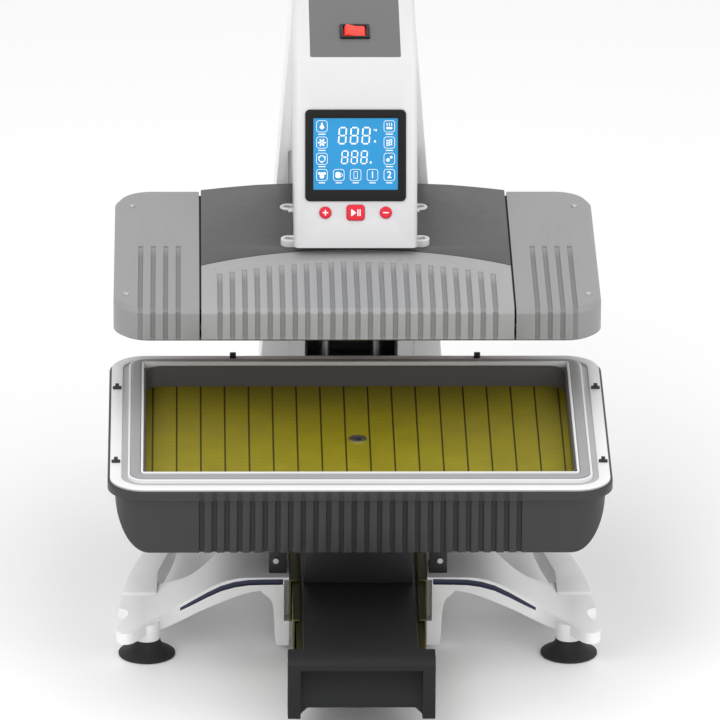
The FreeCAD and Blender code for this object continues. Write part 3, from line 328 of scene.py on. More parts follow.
@dataclass(frozen=True)
class Ribs:
    """Where a moulding's sunk stripes lie: x of the first, pitch, half width, and reach.

    A stripe counts where x lies in it and y lies in front of back_y, which falls away to
    the sides as bow times x squared. Behind that line it fades over fade metres.
    """

    first: float
    pitch: float
    half: float
    inner: float
    outer: float
    back_y: float
    bow: float = 0.0
    fade: float = 0.02
    shadow: float = 0.55

    def mask(self, mix: Recipe) -> Signal:
        """Return 1 in a stripe's floor, else 0."""
        x = abs(mix.axis("X"))
        near = (x - self.first + self.pitch * 20.0).folded(self.pitch / 2) < self.half
        span = (x > self.inner) * (x < self.outer)
        ahead = (self.back_y - mix.axis("Y") - x * x * self.bow) / self.fade
        return near * span * ahead.held()


@dataclass(frozen=True)
class RibbedShell:
    """Satin moulded cover whose sunk stripes are darkened with painted shade."""

    colour: Colour
    ribs: Ribs
    roughness: float = 0.42
    peel_depth: float = 0.00005

    def make(self, name: str) -> bpy.types.Material:
        """Return the material."""
        mix = Recipe(name)
        cloud = mix.noise(scale=8.0, detail=4.0)
        brush = mix.noise(scale=900.0, detail=3.0, rough=0.6, vector=mix.stretched(Along.Z.value))
        tone = mix.blend(cloud, shade(self.colour, 0.95), shade(self.colour, 1.05))
        tone = mix.blend(brush * 0.12, tone, shade(self.colour, 0.8))
        sunk = self.ribs.mask(mix)
        # painted shade: the stripe floors are darkened towards a quarter of the colour, by the
        # ribs' shadow share
        tone = mix.blend(sunk * self.ribs.shadow, tone, shade(self.colour, 0.25))
        mix.set(Base_Color=tone, Roughness=self.roughness + cloud * 0.08 + sunk * 0.12,
                Coat_Weight=0.12, Coat_Roughness=0.3)
        mix.bump(mix.noise(scale=560.0, detail=2.0) + brush * 0.4, self.peel_depth, 0.5)
        return mix.material


@dataclass(frozen=True)
class RimMetal:
    """Anodised rim: bright lands, painted shade below groove_top for the grooves, fine draw lines.
    """

    colour: Colour = (0.87, 0.87, 0.875)
    groove_top: float = 0.2230

    def make(self, name: str) -> bpy.types.Material:
        """Return the material."""
        mix = Recipe(name)
        low = mix.axis("Z") < self.groove_top
        smear = mix.noise(scale=16.0, detail=4.0, rough=0.6)
        lines = mix.noise(scale=1300.0, detail=2.0, rough=0.6, vector=mix.stretched(Along.X.value))
        tone = mix.blend(smear, self.colour, shade(self.colour, 0.9))
        tone = mix.blend(lines * 0.2, tone, shade(self.colour, 0.75))
        # painted shade: everything below groove_top is darkened and made less metallic, standing in
        # for the shade in the grooves between lands
        tone = mix.blend(low * 0.6, tone, shade(self.colour, 0.22))
        mix.set(Base_Color=tone, Metallic=0.12 - low * 0.1,
                Roughness=0.42 + lines * 0.12 + smear * 0.06)
        mix.bump(lines, 0.00002, 0.3)
        return mix.material


@dataclass(frozen=True)
class SoftRubber:
    """Matt rubber or silicone with a little bloom on it."""

    colour: Colour
    roughness: float = 0.62
    bloom: float = 1.5

    def make(self, name: str) -> bpy.types.Material:
        """Return the material."""
        mix = Recipe(name)
        dust = mix.noise(scale=45.0, detail=6.0, rough=0.7)
        grain = mix.noise(scale=900.0, detail=2.0)
        mix.set(Base_Color=mix.blend(dust * 0.6, self.colour, shade(self.colour, self.bloom)),
                Roughness=self.roughness + dust * 0.15)
        mix.bump(grain, 0.00005, 0.4)
        return mix.material


@dataclass(frozen=True)
class BedCoating:
    """Olive coating of the slatted bed: rubbed slats, faint cross lines and painted shade in the
    gaps between slats.
    """

    colour: Colour = (0.30, 0.255, 0.004)
    line_pitch: float = 0.0105
    slat_pitch: float = 0.0247

    def make(self, name: str) -> bpy.types.Material:
        """Return the material."""
        mix = Recipe(name)
        rows = mix.axis("Y").folded(self.line_pitch / 2)
        line = rows < 0.0005
        columns = (mix.axis("X") + self.slat_pitch / 2).folded(self.slat_pitch / 2)
        groove = columns < 0.0009
        rub = mix.noise(scale=38.0, detail=6.0, rough=0.7)
        tone = mix.blend(rub, shade(self.colour, 0.72), shade(self.colour, 1.3))
        tone = mix.blend(line * 0.32, tone, shade(self.colour, 0.35))
        # painted shade: the gaps between slats are darkened nearly to black
        tone = mix.blend(groove * 0.8, tone, shade(self.colour, 0.12))
        fleck = mix.noise(scale=700.0, detail=3.0)
        mix.set(Base_Color=tone, Roughness=0.36 + rub * 0.2, Metallic=0.15)
        mix.bump(fleck - line * 0.8, 0.00008, 0.5)
        return mix.material


@dataclass(frozen=True)
class LitWindow:
    """Back-lit display window: a slightly clouded glow."""

    colour: Colour = (0.010, 0.225, 0.48)
    glow: float = 0.3

    def make(self, name: str) -> bpy.types.Material:
        """Return the material."""
        mix = Recipe(name)
        cell = mix.noise(scale=12.0, detail=2.0)
        tone = mix.blend(cell, shade(self.colour, 0.9), shade(self.colour, 1.12))
        mix.set(Base_Color=tone, Emission_Color=tone, Emission_Strength=self.glow,
                Roughness=0.16 + cell * 0.05, Coat_Weight=0.05, Coat_Roughness=0.05)
        mix.bump(mix.noise(scale=1500.0, detail=1.0), 0.00001, 0.2)
        return mix.material


@dataclass(frozen=True)
class Printed:
    """Print or a lit part, with a glow of its own; on the keys' print the glow is a painted
    highlight.
    """

    colour: Colour = (0.9, 0.93, 0.95)
    glow: float = 0.22

    def make(self, name: str) -> bpy.types.Material:
        """Return the material."""
        mix = Recipe(name)
        ink = mix.noise(scale=600.0, detail=2.0)
        tone = mix.blend(ink, shade(self.colour, 0.93), self.colour)
        # painted highlight on the keys' print: the glow lifts it above the light that falls on it
        mix.set(Base_Color=tone, Emission_Color=tone, Emission_Strength=self.glow,
                Roughness=0.4 + ink * 0.1)
        return mix.material


@dataclass(frozen=True)
class MineralWool:
    """Matted insulation fibre."""

    colour: Colour = (0.035, 0.035, 0.036)

    def make(self, name: str) -> bpy.types.Material:
        """Return the material."""
        mix = Recipe(name)
        tuft = mix.noise(scale=120.0, detail=8.0, rough=0.75)
        mix.set(Base_Color=mix.blend(tuft, shade(self.colour, 0.7), self.colour),
                Roughness=0.9 + tuft * 0.1)
        mix.bump(tuft, 0.0006, 0.8)
        return mix.material


CAP_RIBS = Ribs(first=0.1837, pitch=0.01293, half=0.0026, inner=0.180, outer=0.226,
                back_y=0.111, fade=0.03, shadow=0.42)
COVER_RIBS = Ribs(first=0.0, pitch=0.0128, half=0.0026, inner=-0.001, outer=0.144,
                  back_y=0.067, bow=1.75, fade=0.03, shadow=0.5)
TUB_RIBS = Ribs(first=0.0064, pitch=0.0128, half=0.0026, inner=-0.001, outer=0.163,
                back_y=-0.274, fade=0.0005, shadow=0.75)

FINISHES: dict[str, Any] = {
    "cast_paint": CastPaint((0.90, 0.90, 0.905), roughness=0.4, peel_scale=520.0),
    "white_shell": MouldedPlastic((0.70, 0.70, 0.71), roughness=0.36, grain_scale=1500.0,
                                  grain_depth=0.00003, coat=0.2, clouding=0.015),
    "head_shell": RibbedShell((0.268, 0.268, 0.27), CAP_RIBS),
    "dark_cover": CastPaint((0.056, 0.057, 0.058), roughness=0.45, clouding=0.1),
    "tub_black": RibbedShell((0.022, 0.0225, 0.023), TUB_RIBS, roughness=0.46,
                             peel_depth=0.00007),
    "rim_metal": RimMetal(),
    "seal_silicone": SoftRubber((0.30, 0.30, 0.31), roughness=0.5, bloom=1.2),
    "pan_dark": CastPaint((0.085, 0.085, 0.087), roughness=0.35),
    "bed_coating": BedCoating(),
    "foot_rubber": SoftRubber((0.008, 0.008, 0.008), roughness=0.6, bloom=1.6),
    "bright_steel": BrushedMetal((0.62, 0.62, 0.62), Along.Z, roughness=0.22),
    "zinc_slide": BrushedMetal((0.20, 0.175, 0.065), Along.Y, roughness=0.34,
                               line_scale=1100.0, tint=(0.13, 0.12, 0.07)),
    "black_steel": CastPaint((0.012, 0.012, 0.0125), roughness=0.45, clouding=0.15),
    "handle_grey": MouldedPlastic((0.016, 0.0165, 0.017), roughness=0.55, grain_scale=1000.0,
                                  grain_depth=0.00008, shine=0.2),
    "screen_blue": LitWindow(),
    "bezel_black": MouldedPlastic((0.006, 0.006, 0.006), roughness=0.4, grain_scale=2500.0,
                                  grain_depth=0.00001, coat=0.1, shine=0.2),
    "button_red": MouldedPlastic((0.80, 0.020, 0.045), roughness=0.42, grain_scale=2000.0,
                                 grain_depth=0.00001, coat=0.1, clouding=0.05, shine=0.25),
    "roof_grey": MouldedPlastic((0.132, 0.132, 0.132), grain_scale=900.0, grain_depth=0.00006),
    "motor_metal": CastPaint((0.10, 0.10, 0.11), roughness=0.35),
    "insulation_wool": MineralWool(),
    "membrane_silicone": SoftRubber((0.15, 0.085, 0.07), roughness=0.45, bloom=1.15),
    "heater_metal": BrushedMetal((0.55, 0.55, 0.56), Along.Y, roughness=0.35),
    "dark_steel": CastPaint((0.045, 0.046, 0.05), roughness=0.4),
}
EXTRA_FINISHES: dict[str, Any] = {
    "leg_inlay": MouldedPlastic((0.030, 0.036, 0.085), roughness=0.42, grain_scale=1200.0),
    "print": Printed(),
    "lit_red": Printed((0.88, 0.03, 0.012), glow=0.3),
    "front_cover": RibbedShell((0.33, 0.33, 0.335), COVER_RIBS),
}
OTHER_FINISH = {"head_front_cover": "front_cover", "switch_rocker": "lit_red"}


class Wardrobe:
    """Every finish of the press, each material made once."""

    def __init__(self) -> None:
        """Start with no material made."""
        self.made: dict[str, bpy.types.Material] = {}

    def get(self, name: str) -> bpy.types.Material:
        """Return the material of a finish, by its slot's name."""
        if name not in self.made:
            finish = FINISHES.get(name) or EXTRA_FINISHES[name]
            self.made[name] = finish.make(name + "_finish")
        return self.made[name]


# --------------------------------------------------------------------------
# modelling tools
# --------------------------------------------------------------------------
class Bench:
    """Modelling steps, each done with Blender's own operators."""

    weld = 0.00001
    flat_angle = math.radians(0.6)
    sharp_angle = math.radians(40.0)
    round_steps = 3
    corner_steps = 5

    @staticmethod
    def clear() -> None:
        """Leave edit mode and select nothing."""
        if bpy.context.object and bpy.context.object.mode != "OBJECT":
            bpy.ops.object.mode_set(mode="OBJECT")
        bpy.ops.object.select_all(action="DESELECT")

    @staticmethod
    def take(piece: bpy.types.Object) -> None:
        """Make one piece the only selected and the active one."""
        Bench.clear()
        piece.select_set(True)
        bpy.context.view_layer.objects.active = piece

    @staticmethod
    def settle(piece: bpy.types.Object, place: Matrix | None = None) -> bpy.types.Object:
        """Put a piece in place and write its place into its mesh."""
        Bench.take(piece)
        if place is not None:
            piece.matrix_world = place @ piece.matrix_world
        bpy.ops.object.transform_apply(location=True, rotation=True, scale=True)
        return piece

    @staticmethod
    def pick(piece: bpy.types.Object, test: Callable[[Vector, Vector], bool]) -> None:
        """Select, in edit mode, the faces whose centre and normal pass the test."""
        mesh = bmesh.from_edit_mesh(piece.data)
        for face in mesh.faces:
            face.select_set(test(face.calc_center_median(), face.normal))
        mesh.select_flush_mode()
        bmesh.update_edit_mesh(piece.data)

    @staticmethod
    def modify(piece: bpy.types.Object, kind: str, **settings: Any) -> None:
        """Add a modifier with its settings and apply it."""
        Bench.take(piece)
        modifier = piece.modifiers.new(kind.title(), kind)
        for key, value in settings.items():
            setattr(modifier, key, value)
        bpy.ops.object.modifier_apply(modifier=modifier.name)

    @staticmethod
    def smooth(piece: bpy.types.Object, degrees: float = 30.0) -> None:
        """Shade smooth, with edges over the angle kept sharp."""
        Bench.take(piece)
        bpy.ops.object.shade_smooth_by_angle(angle=math.radians(degrees))

    @staticmethod
    def turned(name: str, rings: Sequence[tuple[float, float]], sides: int) -> bpy.types.Object:
        """Make a turned piece by extruding and resizing a disc ring by ring.

        Args:
            name: the piece's name.
            rings: radius and height of each ring, from the bottom.
            sides: sides of the disc.

        Returns:
            The new piece, with its axis on Z.
        """
        Bench.clear()
        radius, height = rings[0]
        bpy.ops.mesh.primitive_circle_add(vertices=sides, radius=radius, fill_type="NGON",
                                          location=(0, 0, height))
        piece = bpy.context.object
        piece.name = name
        Bench.settle(piece)
        bpy.ops.object.mode_set(mode="EDIT")
        bpy.ops.mesh.select_all(action="SELECT")
        for next_radius, next_height in rings[1:]:
            bpy.ops.mesh.extrude_region_move(
                TRANSFORM_OT_translate={"value": (0, 0, next_height - height)})
            ratio = next_radius / radius
            bpy.ops.transform.resize(value=(ratio, ratio, 1.0),
                                     center_override=(0, 0, next_height))
            radius, height = next_radius, next_height
        bpy.ops.mesh.select_all(action="SELECT")
        bpy.ops.mesh.normals_make_consistent(inside=False)
        bpy.ops.object.mode_set(mode="OBJECT")
        Bench.smooth(piece, 38.0)
        return piece

    @staticmethod
    def swept(name: str, sections: Sequence[tuple[Vector, float, float]]) -> bpy.types.Object:
        """Make a bar that runs along X through upright rectangular sections.

        Args:
            name: the piece's name.
            sections: centre, depth along Y and height of each section.

        Returns:
            The new piece.
        """
        Bench.clear()
        centre, depth, height = sections[0]
        bpy.ops.mesh.primitive_plane_add(size=1.0, location=centre,
                                         rotation=(0.0, math.radians(90), 0.0))
        piece = bpy.context.object
        piece.name = name
        piece.scale = (height, depth, 1.0)
        Bench.settle(piece)
        bpy.ops.object.mode_set(mode="EDIT")
        bpy.ops.mesh.select_all(action="SELECT")
        for spot, wide, tall in sections[1:]:
            bpy.ops.mesh.extrude_region_move(
                TRANSFORM_OT_translate={"value": tuple(spot - centre)})
            bpy.ops.transform.resize(value=(1.0, wide / depth, tall / height),
                                     center_override=tuple(spot))
            centre, depth, height = spot, wide, tall
        bpy.ops.mesh.select_all(action="SELECT")
        bpy.ops.mesh.normals_make_consistent(inside=False)
        bpy.ops.object.mode_set(mode="OBJECT")
        return piece

    @staticmethod
    def outline(name: str, width: float, height: float, corner: float, band: float,
                thick: float) -> bpy.types.Object:
        """Make a flat rounded frame or plate on z = 0.

        Args:
            name: the piece's name.
            width: size along X, in metres.
            height: size along Y.
            corner: radius of the corners.
            band: width of the frame's band, 0 for a full plate.
            thick: thickness.

        Returns:
            The new piece.
        """
        Bench.clear()
        bpy.ops.mesh.primitive_plane_add(size=1.0)
        piece = bpy.context.object
        piece.name = name
        piece.scale = (width, height, 1.0)
        Bench.settle(piece)
        bpy.ops.object.mode_set(mode="EDIT")
        bpy.ops.mesh.select_all(action="SELECT")
        bpy.ops.mesh.bevel(offset=corner, segments=Bench.corner_steps, affect="VERTICES")
        if band > 0:
            bpy.ops.mesh.select_all(action="SELECT")
            bpy.ops.mesh.inset(thickness=band)
            bpy.ops.mesh.delete(type="FACE")
        bpy.ops.mesh.select_all(action="SELECT")
        bpy.ops.mesh.extrude_region_move(TRANSFORM_OT_translate={"value": (0, 0, thick)})
        bpy.ops.mesh.select_all(action="SELECT")
        bpy.ops.mesh.normals_make_consistent(inside=False)
        bpy.ops.object.mode_set(mode="OBJECT")
        return piece

    @staticmethod
    def twin(piece: bpy.types.Object, name: str, place: Matrix) -> bpy.types.Object:
        """Copy a piece with its own mesh and place the copy."""
        Bench.take(piece)
        bpy.ops.object.duplicate(linked=False)
        copy = bpy.context.object
        copy.name = name
        return Bench.settle(copy, place)

    @staticmethod
    def join(pieces: Sequence[bpy.types.Object], name: str) -> bpy.types.Object:
        """Join several pieces into one."""
        Bench.clear()
        for piece in pieces:
            piece.select_set(True)
        bpy.context.view_layer.objects.active = pieces[0]
        if len(pieces) > 1:
            bpy.ops.object.join()
        pieces[0].name = name
        return pieces[0]

    @staticmethod
    def softened(node: str, width: float) -> bpy.types.Object:
        """Copy a CAD node, clean it and round its sharp edges.

        Args:
            node: the CAD node's name.
            width: width of the rounding, in metres.

        Returns:
            The rounded copy, with the node's name and _skin added.
        """
        Bench.take(frame["nodes"][node])
        bpy.ops.object.duplicate(linked=False)
        piece = bpy.context.object
        piece.parent = None
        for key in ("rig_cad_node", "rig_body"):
            if key in piece:
                del piece[key]
        piece.name = node + "_skin"
        bpy.ops.object.mode_set(mode="EDIT")
        bpy.ops.mesh.select_all(action="SELECT")
        bpy.ops.mesh.remove_doubles(threshold=Bench.weld)
        bpy.ops.mesh.dissolve_limited(angle_limit=Bench.flat_angle)
        bpy.ops.mesh.customdata_custom_splitnormals_clear()
        bpy.ops.object.mode_set(mode="OBJECT")
        Bench.modify(piece, "BEVEL", width=width, segments=Bench.round_steps,
                     limit_method="ANGLE", angle_limit=Bench.sharp_angle,
                     use_clamp_overlap=True, miter_outer="MITER_ARC")
        Bench.smooth(piece)
        return piece


def dress(piece: bpy.types.Object, slot: str, finish: str | None = None) -> None:
    """Give a piece the finish of its record slot, or another named finish."""
    piece.data.materials.clear()
    piece.data.materials.append(WARDROBE.get(finish or slot))


def hand_over(piece: bpy.types.Object, body: str, slot: str, stands_for: Iterable[str] = (),
              finish: str | None = None) -> None:
    """Dress a finished piece, ride it on its body and log it.

    Args:
        piece: the finished piece.
        body: the body it moves with.
        slot: its slot in the record.
        stands_for: CAD nodes it takes the place of.
        finish: name of another finish than the slot's own.
    """
    dress(piece, slot, finish)
    for node in stands_for:
        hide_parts(node)
    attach(piece, body)
    LOG.info("%s rides on %s, %d faces", piece.name, body, len(piece.data.polygons))


WARDROBE = Wardrobe()
SLOT_OF = {part["node"]: part["material_slot"] for part in frame["record"]["subparts"]}
BODY_OF = {node: body for body, members in frame["record"]["behaviour"]["bodies"].items()
           for node in members}
AXIS_OF = {joint["name"]: Vector(joint["axis"]) for joint in frame["joints"]}


def middle(node: str) -> Vector:
    """Return the centre of a CAD node's box."""
    low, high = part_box(node)
    return (low + high) / 2


def soft_swap(node: str, width: float) -> None:
    """Replace a CAD node by its rounded copy, in its own finish."""
    piece = Bench.softened(node, width)
    hand_over(piece, BODY_OF[node], SLOT_OF[node], (node,), OTHER_FINISH.get(node))


# --------------------------------------------------------------------------
# sub-assemblies
# --------------------------------------------------------------------------
@dataclass
class Shells:
    """Visible castings, mouldings and sheet parts, with their edge roundings in metres."""

    roundings: dict[str, float] = field(default_factory=lambda: {
        "base_bridge": 0.001,
        "column_shell": 0.001, "arm_shell": 0.0015, "roof_panel": 0.0004,
        "display_bezel": 0.0007, "switch_bezel": 0.0006, "switch_rocker": 0.0006,
        "button_plus": 0.0007, "button_minus": 0.0007, "button_start": 0.0007,
        "drawer_handle": 0.0018, "tray_tub": 0.0012, "tray_rim": 0.0005, "rim_seal": 0.0014,
        "tray_pan": 0.0005, "pedestal": 0.0012, "carriage": 0.0006, "rim_clips": 0.0005,
        "head_cap_left": 0.0009, "head_cap_right": 0.0009, "head_front_cover": 0.0007,
        "head_rear_cover": 0.0008, "hanger_flange": 0.0009, "neck_bracket": 0.001,
        "membrane_frame": 0.0006, "front_plate_left": 0.0005, "front_plate_right": 0.0005,
        "power_inlet": 0.0006,
    })

    def build(self) -> None:
        """Round each shell and put it in its node's place."""
        for node, width in self.roundings.items():
            soft_swap(node, width)


@dataclass
class Castings:
    """The two cast side frames, with a dark groove sunk in each front leg's face.

    The groove is given by sections: x, top edge of the leg, depth and height.
    """

    rounding: float = 0.0022
    below_edge: float = 0.0012
    sides: tuple[tuple[str, int], ...] = (("base_casting_left", -1), ("base_casting_right", 1))
    groove: tuple[tuple[float, float, float, float], ...] = (
        (0.0765, 0.0795, 0.0030, 0.0062), (0.100, 0.0792, 0.0030, 0.0062),
        (0.112, 0.0788, 0.0030, 0.0062), (0.126, 0.0766, 0.0028, 0.0062),
        (0.140, 0.0722, 0.0024, 0.0060), (0.154, 0.0650, 0.0019, 0.0056),
        (0.169, 0.0560, 0.0012, 0.0048), (0.182, 0.0480, 0.0005, 0.0034))

    def cutter(self, side: int, front_y: float) -> bpy.types.Object:
        """Make the bar that sinks the groove.

        Args:
            side: -1 for the left leg, 1 for the right.
            front_y: y of the leg's face.

        Returns:
            The bar, in the groove's finish.
        """
        sections = [(Vector((side * x, front_y, top - self.below_edge - tall / 2)), 2 * deep, tall)
                    for x, top, deep, tall in self.groove]
        bar = Bench.swept("groove_cutter", sections)
        bar.data.materials.append(WARDROBE.get("leg_inlay"))
        return bar

    def build(self) -> None:
        """Round each casting, sink its groove and hand it over."""
        face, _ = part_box("slide_outer_left")
        for node, side in self.sides:
            piece = Bench.softened(node, self.rounding)
            dress(piece, SLOT_OF[node])
            cutter = self.cutter(side, face.y)
            Bench.modify(piece, "BOOLEAN", object=cutter, operation="DIFFERENCE",
                         solver="EXACT", material_mode="TRANSFER")
            bpy.data.objects.remove(cutter)
            Bench.smooth(piece)
            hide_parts(node)
            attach(piece, "frame")
            LOG.info("%s has its groove, %d faces", piece.name, len(piece.data.polygons))


@dataclass
class Feet:
    """Four flared rubber suction cups, with sizes in metres."""

    cup_radius: float = 0.029
    waist: float = 0.0138
    lip: float = 0.0022
    lip_edge: float = 0.0006
    under_cut: float = 0.001
    shoulder_in: float = 0.0012
    shoulder_up: float = 0.0009
    flare: float = 2.1
    top_edge: float = 0.0003
    top_in: float = 0.0004
    steps: int = 12
    sides: int = 56
    nodes: tuple[str, ...] = ("foot_front_left", "foot_front_right", "foot_rear_left",
                              "foot_rear_right")

    def rings(self, tall: float) -> list[tuple[float, float]]:
        """Return radius and height of each ring of a foot, from the floor up."""
        radius, start = self.cup_radius - self.shoulder_in, self.lip + self.shoulder_up
        rings = [(self.cup_radius - self.under_cut, 0.0), (self.cup_radius, self.lip_edge),
                 (self.cup_radius, self.lip), (radius, start)]
        for k in range(1, self.steps + 1):
            t = k / self.steps
            rings.append((self.waist + (radius - self.waist) * (1.0 - t) ** self.flare,
                          start + t * (tall - self.top_edge - start)))
        return rings + [(self.waist - self.top_in, tall)]

    def build(self) -> None:
        """Turn one foot and copy it to the four places."""
        low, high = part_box(self.nodes[0])
        first = Bench.turned("suction_foot", self.rings(high.z - low.z), self.sides)
        for node in self.nodes:
            spot = middle(node)
            foot = Bench.twin(first, node + "_cup", Matrix.Translation((spot.x, spot.y, low.z)))
            hand_over(foot, BODY_OF[node], SLOT_OF[node], (node,))
        bpy.data.objects.remove(first)


@dataclass(frozen=True)
class ScrewHead:
    """Radius and height of one kind of screw head, in metres."""

    radius: float
    tall: float


@dataclass
class ScrewSet:
    """Screws of the head's caps, the hanger's lugs, the front plates and the membrane frame."""

    cap: ScrewHead = ScrewHead(0.0032, 0.0012)
    plate: ScrewHead = ScrewHead(0.0032, 0.002)
    under: ScrewHead = ScrewHead(0.0028, 0.0004)
    rear_inset: float = 0.005
    edge_inset: float = 0.009
    long_margin: float = 0.06
    short_margin: float = 0.08
    under_gap: float = 0.0002
    sides: int = 24
    hanger_sides: int = 32
    hanger_rings: tuple[tuple[float, float], ...] = (
        (0.0046, 0.0), (0.0046, 0.0026), (0.0038, 0.0029), (0.0035, 0.0020), (0.0027, 0.0020),
        (0.0025, 0.0028), (0.0014, 0.0028), (0.0012, 0.0016))

    def head(self, size: ScrewHead) -> bpy.types.Object:
        """Make one screw head at the origin, with a socket sunk in its top."""
        radius, tall, socket = size.radius, size.tall, size.radius * 0.5
        rings = [(radius, 0.0), (radius, tall * 0.6), (radius * 0.9, tall), (socket * 1.15, tall)]
        piece = Bench.turned("screw_head", rings, self.sides)
        Bench.take(piece)
        bpy.ops.object.mode_set(mode="EDIT")
        Bench.pick(piece, lambda centre, normal: centre.z > tall * 0.99 and centre.xy.length < 1e-5)
        bpy.ops.mesh.inset(thickness=socket * 0.12)
        bpy.ops.mesh.extrude_region_move(
            TRANSFORM_OT_translate={"value": (0, 0, -tall * 0.55)})
        bpy.ops.object.mode_set(mode="OBJECT")
        return piece

    def spread(self, first: bpy.types.Object, name: str, spots: Sequence[Matrix], body: str,
               stands_for: Sequence[str] = ()) -> None:
        """Copy one screw to several places, join the copies and hand them over.

        Args:
            first: the screw, which is used up.
            name: name of the joined piece.
            spots: where the copies go.
            body: the body they move with.
            stands_for: CAD nodes they take the place of.
        """
        copies = [Bench.twin(first, f"{name}_{k}", spot) for k, spot in enumerate(spots)]
        bpy.data.objects.remove(first)
        hand_over(Bench.join(copies, name), body, "bright_steel", stands_for)

    def on_caps(self) -> None:
        """Place the four screws of the head's caps."""
        low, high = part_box("cap_screws")
        inset = self.cap.radius
        rows = ((low.y + inset, high.x - inset), (high.y - inset, high.x - inset - self.rear_inset))
        spots = [Matrix.Translation((side * x, y, low.z)) for y, x in rows for side in (-1, 1)]
        self.spread(self.head(self.cap), "cap_screw_heads", spots, "head", ("cap_screws",))

    def on_hanger(self) -> None:
        """Place the four ringed screws of the hanger's lugs."""
        low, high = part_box("hanger_screws")
        inset = self.hanger_rings[0][0]
        spots = [Matrix.Translation((x, y, low.z)) for x in (low.x + inset, high.x - inset)
                 for y in (low.y + inset, high.y - inset)]
        first = Bench.turned("hanger_screw", self.hanger_rings, self.hanger_sides)
        self.spread(first, "hanger_screw_heads", spots, "head", ("hanger_screws",))

    def on_plates(self) -> None:
        """Place the two screws of the front plates."""
        low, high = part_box("front_plate_screws")
        face = Matrix.Rotation(math.radians(90), 4, "X")
        inset = self.plate.radius
        spots = [Matrix.Translation((x, high.y, (low.z + high.z) / 2)) @ face
                 for x in (low.x + inset, high.x - inset)]
        self.spread(self.head(self.plate), "front_plate_screw_heads", spots, "frame",
                    ("front_plate_screws",))

    def under_frame(self) -> None:
        """Place the screws under the membrane frame: 9 along each long side, 5 along each short."""
        low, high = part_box("membrane_frame")
        down = Matrix.Rotation(math.pi, 4, "X")
        spots = []
        for k in range(9):
            x = (k - 4) * (high.x - low.x - self.long_margin) / 8
            spots += [(x, low.y + self.edge_inset), (x, high.y - self.edge_inset)]
        for k in range(5):
            y = middle("membrane_frame").y + (k - 2) * (high.y - low.y - self.short_margin) / 4
            spots += [(low.x + self.edge_inset, y), (high.x - self.edge_inset, y)]
        places = [Matrix.Translation((x, y, low.z + self.under_gap)) @ down for x, y in spots]
        self.spread(self.head(self.under), "frame_screw_heads", places, "head")

    def build(self) -> None:
        """Place every set of screws."""
        self.on_caps()
        self.on_hanger()
        self.on_plates()
        self.under_frame()


@dataclass
class Panel:
    """A flat place on the leaning face, with its own right, up and outward ways."""

    centre: Vector
    normal: Vector
    lift: float = 0.0

    def matrix(self, x: float = 0.0, y: float = 0.0, turn: float = 0.0) -> Matrix:
        """Return the placing of a flat piece.

        Args:
            x: distance to the right of the centre, in metres.
            y: distance up the face.
            turn: turn in the face, in radians.

        Returns:
            The placing.
        """
        right = Vector((1.0, 0.0, 0.0))
        up = self.normal.cross(right)
        spin = Matrix.Rotation(turn, 4, "Z")
        basis = Matrix((right, up, self.normal)).transposed().to_4x4()
        spot = self.centre + right * x + up * y + self.normal * self.lift
        return Matrix.Translation(spot) @ basis @ spin


class Glyph(Enum):
    """Pictures in the display's small frames."""

    FLAME = "flame"
    FAN = "fan"
    RING = "ring"
    SHIRT = "shirt"
    MUG = "mug"
    PHONE = "phone"
    ONE = "1"
    TWO = "2"
    COIL = "coil"
    GRID = "grid"
    DROP = "drop"


@dataclass(frozen=True)
class Mark:
    """One flat shape: place, size, turn in radians, corner radius and width of its band.

    A corner of 0 stands for a bar's own rounding, and a band of 0 for a full plate.
    """

    x: float
    y: float
    width: float
    height: float
    turn: float = 0.0
    corner: float = 0.0
    band: float = 0.0

    @staticmethod
    def ring(x: float, y: float, radius: float, band: float) -> "Mark":
        """Return a round ring."""
        return Mark(x, y, radius * 2, radius * 2, corner=radius * 0.98, band=band)

    @staticmethod
    def spokes(count: int, reach: float, width: float, height: float,
               start: float = 0.0) -> tuple["Mark", ...]:
        """Return bars set round a centre, each turned outwards.

        Args:
            count: how many.
            reach: distance from the centre, in metres.
            width: size of each bar outwards.
            height: size of each bar across.
            start: angle of the first, in radians.

        Returns:
            The bars.
        """
        angles = [start + k * math.tau / count for k in range(count)]
        return tuple(Mark(reach * math.cos(angle), reach * math.sin(angle), width, height, angle)
                     for angle in angles)


@dataclass(frozen=True)
class DigitRow:
    """A row of three digits: x of the first, pitch, y, and the size of a digit."""

    left: float
    pitch: float
    y: float
    width: float
    height: float


